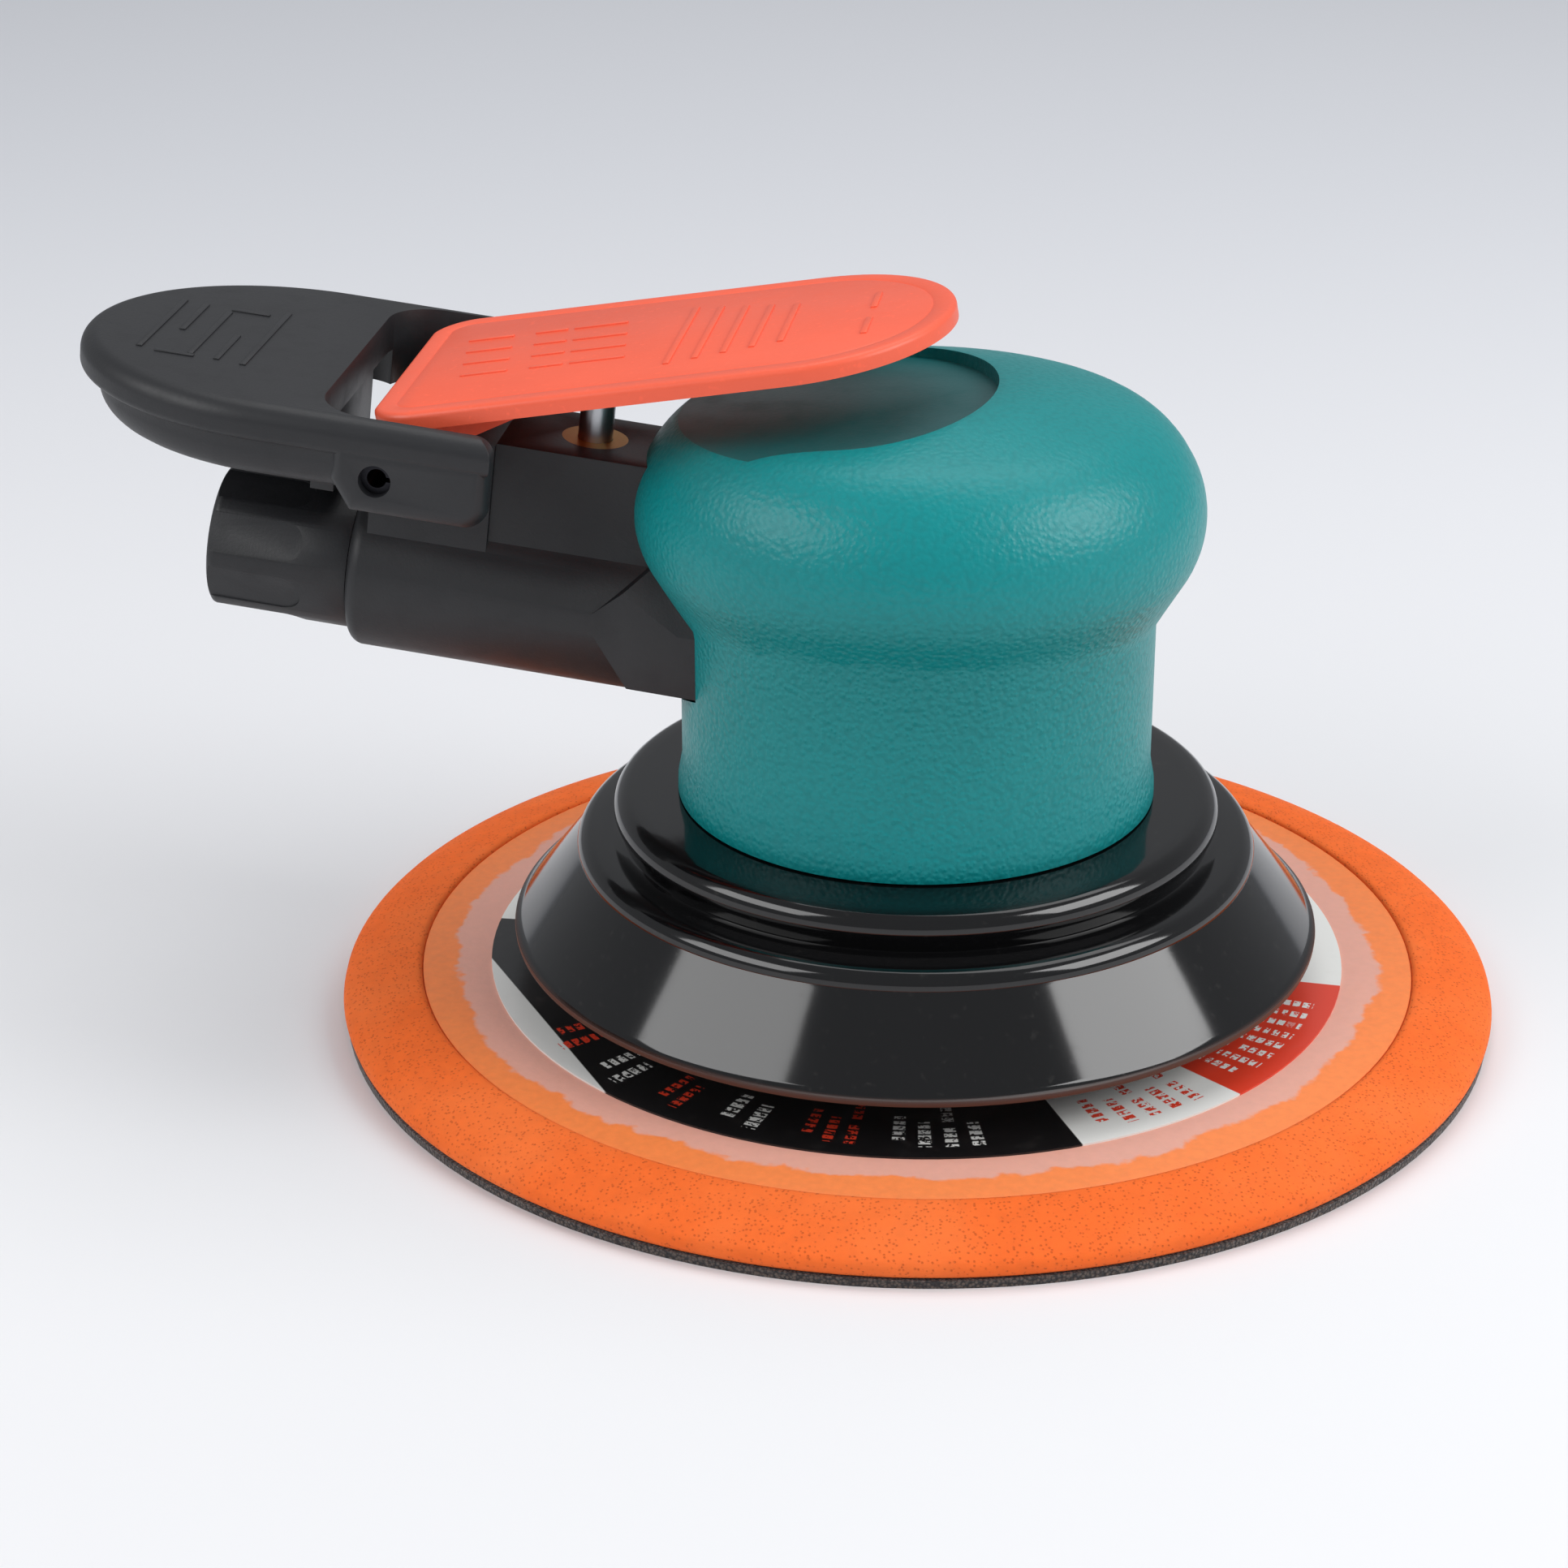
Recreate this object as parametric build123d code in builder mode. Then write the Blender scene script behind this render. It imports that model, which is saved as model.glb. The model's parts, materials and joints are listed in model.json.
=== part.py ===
"""A pneumatic 6 in random-orbital palm sander, as an assembly of separate pieces. Millimetres.

+Z is up and z = 0 is the face of the pad that rests on the work. The origin is on the motor axis.
The handle neck points along -X and rises at HANDLE_TILT. Positions along the neck are given as
(along, height): distance out from the motor axis and height over the neck's own axis.
"""

from build123d import *
import math
import os

os.makedirs("parts", exist_ok=True)

# ---- driving dimensions ----------------------------------------------------------------------
PAD_RADIUS = 76.0             # a 6 in (152 mm) pad
ORBIT_OFFSET = 2.38           # half of a 3/16 in orbit: pad axis to motor axis
HOOK_THICKNESS = 1.0
FOAM_RIDGE_RADIUS = 66.2      # where the foam's bevel meets the backing plate
FOAM_RIDGE_Z = 6.1
PLATE_RADIUS = 65.4
PLATE_BOTTOM_Z = 4.2
PLATE_TOP_Z = 5.8
PLATE_BOSS_RADIUS = 14.0
PLATE_BOSS_TOP_Z = 6.6
LABEL_RADIUS = 56.3
LABEL_THICKNESS = 0.25

SHAFT_RADIUS = 6.0            # journals for 12 mm bearings
BEARING_OUTER_RADIUS = 14.0   # 28 mm bearings
BEARING_PITCH_RADIUS = 10.0
BEARING_WIDTH = 8.0
RUNNING_GAP = 0.05

MOTOR_RADIUS = 23.0           # the bore that holds the air motor
LINER_BORE_RADIUS = 19.5
LINER_BORE_OFFSET = 1.8
ROTOR_RADIUS = 17.5
VANE_COUNT = 5
VANE_THICKNESS = 1.8

LOCK_RING_Z = 31.5
FRONT_PLATE_Z = 35.0
LINER_Z = 45.5
LINER_HEIGHT = 18.0
REAR_PLATE_Z = LINER_Z + LINER_HEIGHT
PLATE_WEB = 2.5
REAR_BEARING_Z = REAR_PLATE_Z + PLATE_WEB
SHAFT_TOP_Z = REAR_BEARING_Z + BEARING_WIDTH + 1.6

HOUSING_RADIUS = 26.0
HOUSING_BOTTOM_Z = 31.0
HOUSING_TOP_Z = 78.2
GRIP_BOTTOM_Z = 30.8
GRIP_WAIST_RADIUS = 30.2
GRIP_WIDTH_RATIO = 0.94       # the head is a little narrower across than along the handle
SHROUD_NECK_RADIUS = 28.2
SHROUD_NECK_TOP_Z = 37.0
SHROUD_RIM_RADIUS = 52.5
SHROUD_RIM_Z = 11.9

HANDLE_TILT = 7.0             # degrees, the neck rises going outwards
NECK_AXIS_Z = 49.7            # height of the neck axis over the motor axis
NECK_RADIUS = 11.3
NECK_END = 72.5
NECK_BORE_RADIUS = 6.5
SILENCER_BORE_RADIUS = 9.4
SILENCER_START = 61.0
CAP_END = 91.0
CAP_RADIUS = 9.4
INLET_END = 90.0
INLET_THREAD_RADIUS = 5.6     # minor radius of a 1/4 in NPT thread
INLET_THREAD_LENGTH = 14.0

STEM_ALONG = 44.0             # valve stem's place along the neck
STEM_RADIUS = 2.2
PIN_ALONG = 66.3
PIN_HEIGHT = 20.0
PIN_RADIUS = 2.0
FORK_OUTER = 25.0             # half widths of the wrist rest's fork
FORK_INNER = 22.4
REST_TOP = 27.0               # heights of the wrist rest over the neck axis
REST_BOTTOM = 17.2
SADDLE_HALF_WIDTH = 9.0

LEVER_ANGLE = 9.1             # degrees, the lever rises towards the grip
LEVER_REAR_X = -64.0          # a point on the lever's top face
LEVER_REAR_Z = 84.2
LEVER_HALF_WIDTH = 20.3
LEVER_TIP_HALF_WIDTH = 19.9
LEVER_THICKNESS = 2.2

# ---- shared planes and helpers ---------------------------------------------------------------
tilt_cos = math.cos(math.radians(HANDLE_TILT))
tilt_sin = math.sin(math.radians(HANDLE_TILT))
outward = Vector(-tilt_cos, 0, tilt_sin)
upright = Vector(tilt_sin, 0, tilt_cos)
neck_root = Vector(0, 0, NECK_AXIS_Z)


def handle_point(along, height=0.0):
    """The point at a distance out along the neck and a height over its axis."""
    return neck_root + outward * along + upright * height


def side_plane():
    """The handle's plane of symmetry: x is along the neck, y is height."""
    return Plane(origin=neck_root, x_dir=outward, z_dir=(0, 1, 0))


def cross_plane(along):
    """A section across the neck, facing outwards: y is height."""
    return Plane(origin=handle_point(along), x_dir=(0, -1, 0), z_dir=outward)


def plan_plane(height):
    """A plane parallel to the neck at a height: x is along the neck, y is across."""
    return Plane(origin=handle_point(0, height), x_dir=outward, z_dir=upright)


def lever_plane():
    """The lever's top face: x runs to its tip, y is across."""
    angle = math.radians(LEVER_ANGLE)
    return Plane(
        origin=(LEVER_REAR_X, 0, LEVER_REAR_Z),
        x_dir=(math.cos(angle), 0, math.sin(angle)),
        z_dir=(-math.sin(angle), 0, math.cos(angle)),
    )


pad_plane = Plane(origin=(0, ORBIT_OFFSET, 0))


def save(piece, name):
    """Label a piece and write its STEP file."""
    piece.part.label = name
    export_step(piece.part, f"parts/{name}.step")


def ring(plane, inner, outer, bottom, top, name):
    """A plain ring about a plane's axis, written as a piece of its own."""
    with BuildPart() as piece:
        with BuildSketch(plane.offset(bottom)):
            Circle(outer)
            Circle(inner, mode=Mode.SUBTRACT)
        extrude(amount=top - bottom)
    save(piece, name)


# ---- pad ---------------------------------------------------------------------------------------
with BuildPart() as hook_face:
    with BuildSketch(pad_plane):
        Circle(PAD_RADIUS - 0.5)
    extrude(amount=HOOK_THICKNESS)
save(hook_face, "hook_face")

STUD_HEAD_RADIUS = 9.0
STUD_HEAD_Z = 2.8
STUD_RADIUS = 3.9             # 5/16 in thread
STUD_TOP_Z = 18.6

with BuildPart() as pad_foam:
    with BuildSketch(Plane(origin=pad_plane.origin, x_dir=(1, 0, 0), z_dir=(0, -1, 0))):
        with BuildLine():
            Polyline(
                (0, STUD_HEAD_Z),
                (0, HOOK_THICKNESS),
                (PAD_RADIUS - 0.5, HOOK_THICKNESS),
            )
            RadiusArc((PAD_RADIUS - 0.5, HOOK_THICKNESS), (PAD_RADIUS - 1.2, 3.6), -1.6)
            Polyline(
                (PAD_RADIUS - 1.2, 3.6),
                (FOAM_RIDGE_RADIUS, FOAM_RIDGE_Z),
                (PLATE_RADIUS, FOAM_RIDGE_Z),
                (PLATE_RADIUS, PLATE_BOTTOM_Z),
                (STUD_HEAD_RADIUS, PLATE_BOTTOM_Z),
                (STUD_HEAD_RADIUS, STUD_HEAD_Z),
                (0, STUD_HEAD_Z),
            )
        make_face()
    revolve(axis=Axis((0, ORBIT_OFFSET, 0), (0, 0, 1)))
save(pad_foam, "pad_foam")

with BuildPart() as pad_backing_plate:
    with BuildSketch(pad_plane.offset(PLATE_BOTTOM_Z)):
        Circle(PLATE_RADIUS)
        Circle(STUD_RADIUS, mode=Mode.SUBTRACT)
    extrude(amount=PLATE_TOP_Z - PLATE_BOTTOM_Z)
    with BuildSketch(pad_plane.offset(PLATE_TOP_Z)):
        Circle(PLATE_BOSS_RADIUS)
        Circle(STUD_RADIUS, mode=Mode.SUBTRACT)
    extrude(amount=PLATE_BOSS_TOP_Z - PLATE_TOP_Z)
save(pad_backing_plate, "pad_backing_plate")

LABEL_HOLE_RADIUS = PLATE_BOSS_RADIUS + 0.5
ring(pad_plane, LABEL_HOLE_RADIUS, LABEL_RADIUS, PLATE_TOP_Z, PLATE_TOP_Z + LABEL_THICKNESS, "pad_label")

with BuildPart() as pad_stud:
    with BuildSketch(pad_plane.offset(STUD_HEAD_Z)):
        Circle(STUD_HEAD_RADIUS)
    extrude(amount=PLATE_BOTTOM_Z - STUD_HEAD_Z)
    with BuildSketch(pad_plane.offset(PLATE_BOTTOM_Z)):
        Circle(STUD_RADIUS)
    extrude(amount=STUD_TOP_Z - PLATE_BOTTOM_Z)
save(pad_stud, "pad_stud")

# ---- pad spindle -------------------------------------------------------------------------------
SPINDLE_FLANGE_TOP_Z = 11.0
SPINDLE_BEARING_Z = 13.0
SPINDLE_BEARING_WIDTH = 12.0
SPINDLE_TOP_Z = SPINDLE_BEARING_Z + SPINDLE_BEARING_WIDTH
SPINDLE_HEX_FLATS = 24.0
STUD_BORE_DEPTH = 13.4
SCREW_RADIUS = 2.0
SCREW_DEPTH = 4.1
WASHER_RADIUS = 7.5
WASHER_THICKNESS = 1.0
SCREW_HEAD_RADIUS = 4.2
SCREW_HEAD_HEIGHT = 2.6

with BuildPart() as pad_spindle:
    with BuildSketch(pad_plane.offset(PLATE_BOSS_TOP_Z)):
        RegularPolygon(SPINDLE_HEX_FLATS / 2, 6, major_radius=False)
    extrude(amount=SPINDLE_FLANGE_TOP_Z - PLATE_BOSS_TOP_Z)
    with BuildSketch(pad_plane.offset(SPINDLE_FLANGE_TOP_Z)):
        Circle(SHAFT_RADIUS + 2)
    extrude(amount=SPINDLE_BEARING_Z - SPINDLE_FLANGE_TOP_Z)
    with BuildSketch(pad_plane.offset(SPINDLE_BEARING_Z)):
        Circle(SHAFT_RADIUS)
    extrude(amount=SPINDLE_BEARING_WIDTH)
    with BuildSketch(pad_plane.offset(PLATE_BOSS_TOP_Z)):
        Circle(STUD_RADIUS + RUNNING_GAP)
    extrude(amount=STUD_BORE_DEPTH, mode=Mode.SUBTRACT)
    with BuildSketch(pad_plane.offset(SPINDLE_TOP_Z)):
        Circle(SCREW_RADIUS)
    extrude(amount=-SCREW_DEPTH, mode=Mode.SUBTRACT)
save(pad_spindle, "pad_spindle")

ring(pad_plane, SCREW_RADIUS, WASHER_RADIUS, SPINDLE_TOP_Z, SPINDLE_TOP_Z + WASHER_THICKNESS, "spindle_washer")

with BuildPart() as spindle_screw:
    with BuildSketch(pad_plane.offset(SPINDLE_TOP_Z + WASHER_THICKNESS)):
        Circle(SCREW_HEAD_RADIUS)
    extrude(amount=SCREW_HEAD_HEIGHT)
    with BuildSketch(pad_plane.offset(SPINDLE_TOP_Z + WASHER_THICKNESS)):
        Circle(SCREW_RADIUS)
    extrude(amount=-(SCREW_DEPTH + WASHER_THICKNESS))
    with BuildSketch(pad_plane.offset(SPINDLE_TOP_Z + WASHER_THICKNESS + SCREW_HEAD_HEIGHT)):
        RegularPolygon(2, 6, major_radius=False)
    extrude(amount=-1.6, mode=Mode.SUBTRACT)
save(spindle_screw, "spindle_screw")


# ---- ball bearings -----------------------------------------------------------------------------
RACE_HALF_GAP = 1.5           # from the pitch circle to each race
GROOVE_GAP = 0.08             # ball to groove
CAGE_HALF_WALL = 0.6
CAGE_RIM = 0.9                # cage left over beyond the balls


def ball_bearing(plane, bottom, width, ball_radius, row_heights, ball_count, name):
    """Write a deep-groove bearing as four pieces: outer race, inner race, cage and balls."""
    rows = [bottom + height for height in row_heights]
    with BuildPart() as grooves:
        for row in rows:
            with Locations(plane.offset(row)):
                Torus(BEARING_PITCH_RADIUS, ball_radius + GROOVE_GAP)
    with BuildPart() as outer_race:
        with BuildSketch(plane.offset(bottom)):
            Circle(BEARING_OUTER_RADIUS)
            Circle(BEARING_PITCH_RADIUS + RACE_HALF_GAP, mode=Mode.SUBTRACT)
        extrude(amount=width)
        add(grooves.part, mode=Mode.SUBTRACT)
    save(outer_race, f"{name}_outer_race")
    with BuildPart() as inner_race:
        with BuildSketch(plane.offset(bottom)):
            Circle(BEARING_PITCH_RADIUS - RACE_HALF_GAP)
            Circle(SHAFT_RADIUS, mode=Mode.SUBTRACT)
        extrude(amount=width)
        add(grooves.part, mode=Mode.SUBTRACT)
    save(inner_race, f"{name}_inner_race")
    with BuildPart() as balls:
        for row in rows:
            with Locations(plane.offset(row)):
                with PolarLocations(BEARING_PITCH_RADIUS, ball_count):
                    Sphere(ball_radius)
    save(balls, f"{name}_balls")
    cage_low = rows[0] - ball_radius - CAGE_RIM
    cage_high = rows[-1] + ball_radius + CAGE_RIM
    with BuildPart() as cage:
        with BuildSketch(plane.offset(cage_low)):
            Circle(BEARING_PITCH_RADIUS + CAGE_HALF_WALL)
            Circle(BEARING_PITCH_RADIUS - CAGE_HALF_WALL, mode=Mode.SUBTRACT)
        extrude(amount=cage_high - cage_low)
        for row in rows:
            with Locations(plane.offset(row)):
                with PolarLocations(BEARING_PITCH_RADIUS, ball_count):
                    Cylinder(
                        ball_radius + GROOVE_GAP,
                        4 * CAGE_HALF_WALL,
                        rotation=(0, 90, 0),
                        mode=Mode.SUBTRACT,
                    )
    save(cage, f"{name}_cage")


ball_bearing(Plane.XY, FRONT_PLATE_Z, BEARING_WIDTH, 2.3, [BEARING_WIDTH / 2], 8, "front_bearing")
ball_bearing(Plane.XY, REAR_BEARING_Z, BEARING_WIDTH, 2.3, [BEARING_WIDTH / 2], 8, "rear_bearing")
ball_bearing(pad_plane, SPINDLE_BEARING_Z, SPINDLE_BEARING_WIDTH, 2.0, [3.2, 8.8], 9, "spindle_bearing")

# ---- shaft balancer ------------------------------------------------------------------------------
CUP_RADIUS = 17.0
CUP_BOTTOM_Z = 11.6
CUP_TOP_Z = 31.0
CUP_CHAMBER_RADIUS = 10.5
CUP_CHAMBER_TOP_Z = 29.4
CIRCLIP_Z = 11.95
CIRCLIP_THICKNESS = 1.0
CIRCLIP_GROOVE_RADIUS = 14.9
WEIGHT_RADIUS = 31.0
WEIGHT_BOTTOM_Z = 19.0
WEIGHT_TOP_Z = 27.4
SHAFT_CIRCLIP_Z = REAR_BEARING_Z + BEARING_WIDTH + 0.05
SHAFT_CIRCLIP_GROOVE = 5.4

with BuildPart() as shaft_balancer:
    with BuildSketch(pad_plane.offset(CUP_BOTTOM_Z)):
        Circle(CUP_RADIUS)
    extrude(amount=CUP_TOP_Z - CUP_BOTTOM_Z)
    with BuildSketch(Plane.XY.offset(WEIGHT_BOTTOM_Z)) as weight:
        Circle(WEIGHT_RADIUS)
        with Locations((0, WEIGHT_RADIUS - 3)):
            Rectangle(2 * WEIGHT_RADIUS, 2 * WEIGHT_RADIUS, mode=Mode.SUBTRACT)
    extrude(amount=WEIGHT_TOP_Z - WEIGHT_BOTTOM_Z)
    with BuildSketch(Plane.XY.offset(CUP_TOP_Z)):
        Circle(SHAFT_RADIUS + 2)
    extrude(amount=FRONT_PLATE_Z - CUP_TOP_Z)
    with BuildSketch(Plane.XY.offset(FRONT_PLATE_Z)):
        Circle(SHAFT_RADIUS)
    extrude(amount=SHAFT_TOP_Z - FRONT_PLATE_Z)
    chamfer(faces().sort_by(Axis.Z)[-1].edges(), 0.6)
    with BuildSketch(pad_plane.offset(CUP_BOTTOM_Z)):
        Circle(BEARING_OUTER_RADIUS)
    extrude(amount=SPINDLE_TOP_Z - CUP_BOTTOM_Z, mode=Mode.SUBTRACT)
    with BuildSketch(pad_plane.offset(SPINDLE_TOP_Z)):
        Circle(CUP_CHAMBER_RADIUS)
    extrude(amount=CUP_CHAMBER_TOP_Z - SPINDLE_TOP_Z, mode=Mode.SUBTRACT)
    with BuildSketch(pad_plane.offset(CIRCLIP_Z)):
        Circle(CIRCLIP_GROOVE_RADIUS)
    extrude(amount=CIRCLIP_THICKNESS + RUNNING_GAP, mode=Mode.SUBTRACT)
    with BuildSketch(Plane.XY.offset(SHAFT_CIRCLIP_Z)):
        Circle(SHAFT_RADIUS + 1)
        Circle(SHAFT_CIRCLIP_GROOVE, mode=Mode.SUBTRACT)
    extrude(amount=1.0, mode=Mode.SUBTRACT)
    with BuildSketch(Plane.XY.offset(LINER_Z + 4)):
        with Locations((SHAFT_RADIUS, 0)):
            Rectangle(2, 2)
    extrude(amount=10, mode=Mode.SUBTRACT)
save(shaft_balancer, "shaft_balancer")

with BuildPart() as rotor_key:
    with BuildSketch(Plane.XY.offset(LINER_Z + 4)):
        with Locations((SHAFT_RADIUS, 0)):
            Rectangle(2, 2)
    extrude(amount=10)
save(rotor_key, "rotor_key")


def circlip(plane, bottom, inner, outer, thickness, name):
    """A retaining ring: an open ring with a gap for its pliers holes."""
    with BuildPart() as clip:
        with BuildSketch(plane.offset(bottom)):
            Circle(outer)
            Circle(inner, mode=Mode.SUBTRACT)
            with Locations((outer, 0)):
                Rectangle(2 * (outer - inner) + 1, 3, mode=Mode.SUBTRACT)
        extrude(amount=thickness)
    save(clip, name)


circlip(pad_plane, CIRCLIP_Z, 12.6, CIRCLIP_GROOVE_RADIUS - 0.1, CIRCLIP_THICKNESS, "spindle_circlip")
circlip(Plane.XY, SHAFT_CIRCLIP_Z + 0.05, SHAFT_CIRCLIP_GROOVE, 8.4, 0.9, "shaft_circlip")

# ---- air motor -----------------------------------------------------------------------------------
DOWEL_RADIUS = 1.2
DOWEL_PLACE = 20.8
DOWEL_ANGLE = 150
DOWEL_BOTTOM_Z = REAR_PLATE_Z - 4
DOWEL_TOP_Z = REAR_PLATE_Z + 3.5
dowel_spot = (
    DOWEL_PLACE * math.cos(math.radians(DOWEL_ANGLE)),
    DOWEL_PLACE * math.sin(math.radians(DOWEL_ANGLE)),
)
END_PLATE_BORE = 7.6
REAR_BOSS_RADIUS = 17.0
REAR_FLANGE_TOP_Z = 67.9
ORING_GROOVE_RADIUS = 21.6
ORING_Z = 37.0
ORING_HEIGHT = 1.8

with BuildPart() as lock_ring:
    with BuildSketch(Plane.XY.offset(LOCK_RING_Z)):
        Circle(HOUSING_RADIUS - 1.4)
        Circle(15, mode=Mode.SUBTRACT)
    extrude(amount=FRONT_PLATE_Z - LOCK_RING_Z)
    with BuildSketch(Plane.XY.offset(LOCK_RING_Z)):
        with PolarLocations(19.8, 4):
            Circle(1.6)
    extrude(amount=2.2, mode=Mode.SUBTRACT)
save(lock_ring, "lock_ring")

with BuildPart() as front_end_plate:
    with BuildSketch(Plane.XY.offset(FRONT_PLATE_Z)):
        Circle(MOTOR_RADIUS)
        Circle(END_PLATE_BORE, mode=Mode.SUBTRACT)
    extrude(amount=LINER_Z - FRONT_PLATE_Z)
    with BuildSketch(Plane.XY.offset(FRONT_PLATE_Z)):
        Circle(BEARING_OUTER_RADIUS)
    extrude(amount=BEARING_WIDTH, mode=Mode.SUBTRACT)
    with BuildSketch(Plane.XY.offset(ORING_Z)):
        Circle(MOTOR_RADIUS + 1)
        Circle(ORING_GROOVE_RADIUS, mode=Mode.SUBTRACT)
    extrude(amount=ORING_HEIGHT, mode=Mode.SUBTRACT)
save(front_end_plate, "front_end_plate")

ring(Plane.XY, ORING_GROOVE_RADIUS, MOTOR_RADIUS, ORING_Z, ORING_Z + ORING_HEIGHT, "motor_oring")

with BuildPart() as rear_end_plate:
    with BuildSketch(Plane.XY.offset(REAR_PLATE_Z)):
        Circle(MOTOR_RADIUS)
    extrude(amount=REAR_FLANGE_TOP_Z - REAR_PLATE_Z)
    with BuildSketch(Plane.XY.offset(REAR_FLANGE_TOP_Z)):
        Circle(REAR_BOSS_RADIUS)
    extrude(amount=REAR_BEARING_Z + BEARING_WIDTH - REAR_FLANGE_TOP_Z)
    with BuildSketch(Plane.XY.offset(REAR_BEARING_Z)):
        Circle(BEARING_OUTER_RADIUS)
    extrude(amount=BEARING_WIDTH, mode=Mode.SUBTRACT)
    with BuildSketch(Plane.XY.offset(REAR_PLATE_Z)):
        Circle(END_PLATE_BORE)
    extrude(amount=PLATE_WEB, mode=Mode.SUBTRACT)
    with BuildSketch(Plane.XY.offset(REAR_PLATE_Z)):
        with Locations(dowel_spot):
            Circle(DOWEL_RADIUS)
    extrude(amount=DOWEL_TOP_Z - REAR_PLATE_Z, mode=Mode.SUBTRACT)
save(rear_end_plate, "rear_end_plate")

with BuildPart() as dowel_pin:
    with BuildSketch(Plane.XY.offset(DOWEL_BOTTOM_Z)):
        with Locations(dowel_spot):
            Circle(DOWEL_RADIUS)
    extrude(amount=DOWEL_TOP_Z - DOWEL_BOTTOM_Z)
save(dowel_pin, "dowel_pin")

with BuildPart() as cylinder_liner:
    with BuildSketch(Plane.XY.offset(LINER_Z)):
        Circle(MOTOR_RADIUS)
        with Locations((LINER_BORE_OFFSET, 0)):
            Circle(LINER_BORE_RADIUS, mode=Mode.SUBTRACT)
    extrude(amount=LINER_HEIGHT)
    with BuildSketch(Plane.XY.offset(DOWEL_BOTTOM_Z)):
        with Locations(dowel_spot):
            Circle(DOWEL_RADIUS)
    extrude(amount=REAR_PLATE_Z - DOWEL_BOTTOM_Z, mode=Mode.SUBTRACT)
    # the air inlet, on the neck's side
    with BuildSketch(Plane(origin=(-MOTOR_RADIUS - 1, 0, LINER_Z + LINER_HEIGHT / 2), z_dir=(1, 0, 0))):
        Circle(3)
    extrude(amount=MOTOR_RADIUS, mode=Mode.SUBTRACT)
    # the exhaust ports, on the wide side of the chamber
    with BuildSketch(Plane(origin=(6, MOTOR_RADIUS + 1, LINER_Z + LINER_HEIGHT / 2), z_dir=(0, -1, 0))):
        with GridLocations(3.5, 0, 4, 1):
            SlotOverall(10, 2, rotation=90)
    extrude(amount=MOTOR_RADIUS / 2, mode=Mode.SUBTRACT)
save(cylinder_liner, "cylinder_liner")

ROTOR_END_GAP = 0.1
SLOT_FLOOR = 8.5
with BuildPart() as rotor:
    with BuildSketch(Plane.XY.offset(LINER_Z + ROTOR_END_GAP)):
        Circle(ROTOR_RADIUS)
        Circle(SHAFT_RADIUS, mode=Mode.SUBTRACT)
        with Locations((SHAFT_RADIUS, 0)):
            Rectangle(2, 2, mode=Mode.SUBTRACT)
        with PolarLocations(SLOT_FLOOR + 5.5, VANE_COUNT, start_angle=36):
            Rectangle(11, VANE_THICKNESS + 2 * RUNNING_GAP, mode=Mode.SUBTRACT)
    extrude(amount=LINER_HEIGHT - 2 * ROTOR_END_GAP)
save(rotor, "rotor")

VANE_WIDTH = 8.6
with BuildPart() as vanes:
    with BuildSketch(Plane.XY.offset(LINER_Z + 2 * ROTOR_END_GAP)):
        with PolarLocations(SLOT_FLOOR + 0.2 + VANE_WIDTH / 2, VANE_COUNT, start_angle=36):
            Rectangle(VANE_WIDTH, VANE_THICKNESS)
    extrude(amount=LINER_HEIGHT - 4 * ROTOR_END_GAP)
save(vanes, "vanes")

# ---- motor housing with its neck -------------------------------------------------------------
HOUSING_CORNER = 5.0
FLARE_START = 41.6            # along the neck, where the block's side facets begin
FLARE_HALF_WIDTH = 14.6
SADDLE_START = 55.0
SADDLE_END = 70.3
SADDLE_TOP = PIN_HEIGHT + 3.2
VALVE_WEB_HALF_WIDTH = 8.0
VALVE_WEB_TOP = 21.0
VALVE_WEB_START = 22.0
BUSHING_RADIUS = 4.2

# the neck's square block, seen from its end: (across, height)
BLOCK_OUTLINE = [
    (-FLARE_HALF_WIDTH, -6.1),
    (-FLARE_HALF_WIDTH, 2.0),
    (-10.5, 8.6),
    (10.5, 8.6),
    (FLARE_HALF_WIDTH, 2.0),
    (FLARE_HALF_WIDTH, -6.1),
    (3.0, -11.0),
    (-3.0, -11.0),
]


def housing_shell(radius, bottom, top, corner):
    """A domed cylinder about the motor axis, used for the housing and for the grip's hollow."""
    with BuildPart() as shell:
        with BuildSketch(Plane.XY.offset(bottom)):
            Circle(radius)
        extrude(amount=top - bottom)
        fillet(shell.faces().sort_by(Axis.Z)[-1].edges(), corner)
    return shell.part


def neck_block(outline, end):
    """The block where the neck meets the housing, with flat facets running out to the tube."""
    with BuildPart() as block:
        with BuildSketch(cross_plane(15)):
            Polygon(*outline, align=None)
        extrude(amount=end - 15)
        # facets in plan, narrowing to the tube
        with BuildSketch(plan_plane(-20)):
            Polygon(
                (15, -20),
                (29, -20),
                (29, -FLARE_HALF_WIDTH),
                (FLARE_START, -10.9),
                (FLARE_START, 10.9),
                (29, FLARE_HALF_WIDTH),
                (29, 20),
                (15, 20),
                align=None,
            )
        extrude(amount=40, mode=Mode.INTERSECT)
        # facets seen from the side, meeting at a point on the tube's flank
        with BuildSketch(side_plane().offset(-20)):
            Polygon((15, -11.2), (31, -11.2), (FLARE_START, 0.6), (30.5, 12), (15, 12), align=None)
        extrude(amount=40, mode=Mode.INTERSECT)
    return block.part


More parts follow.
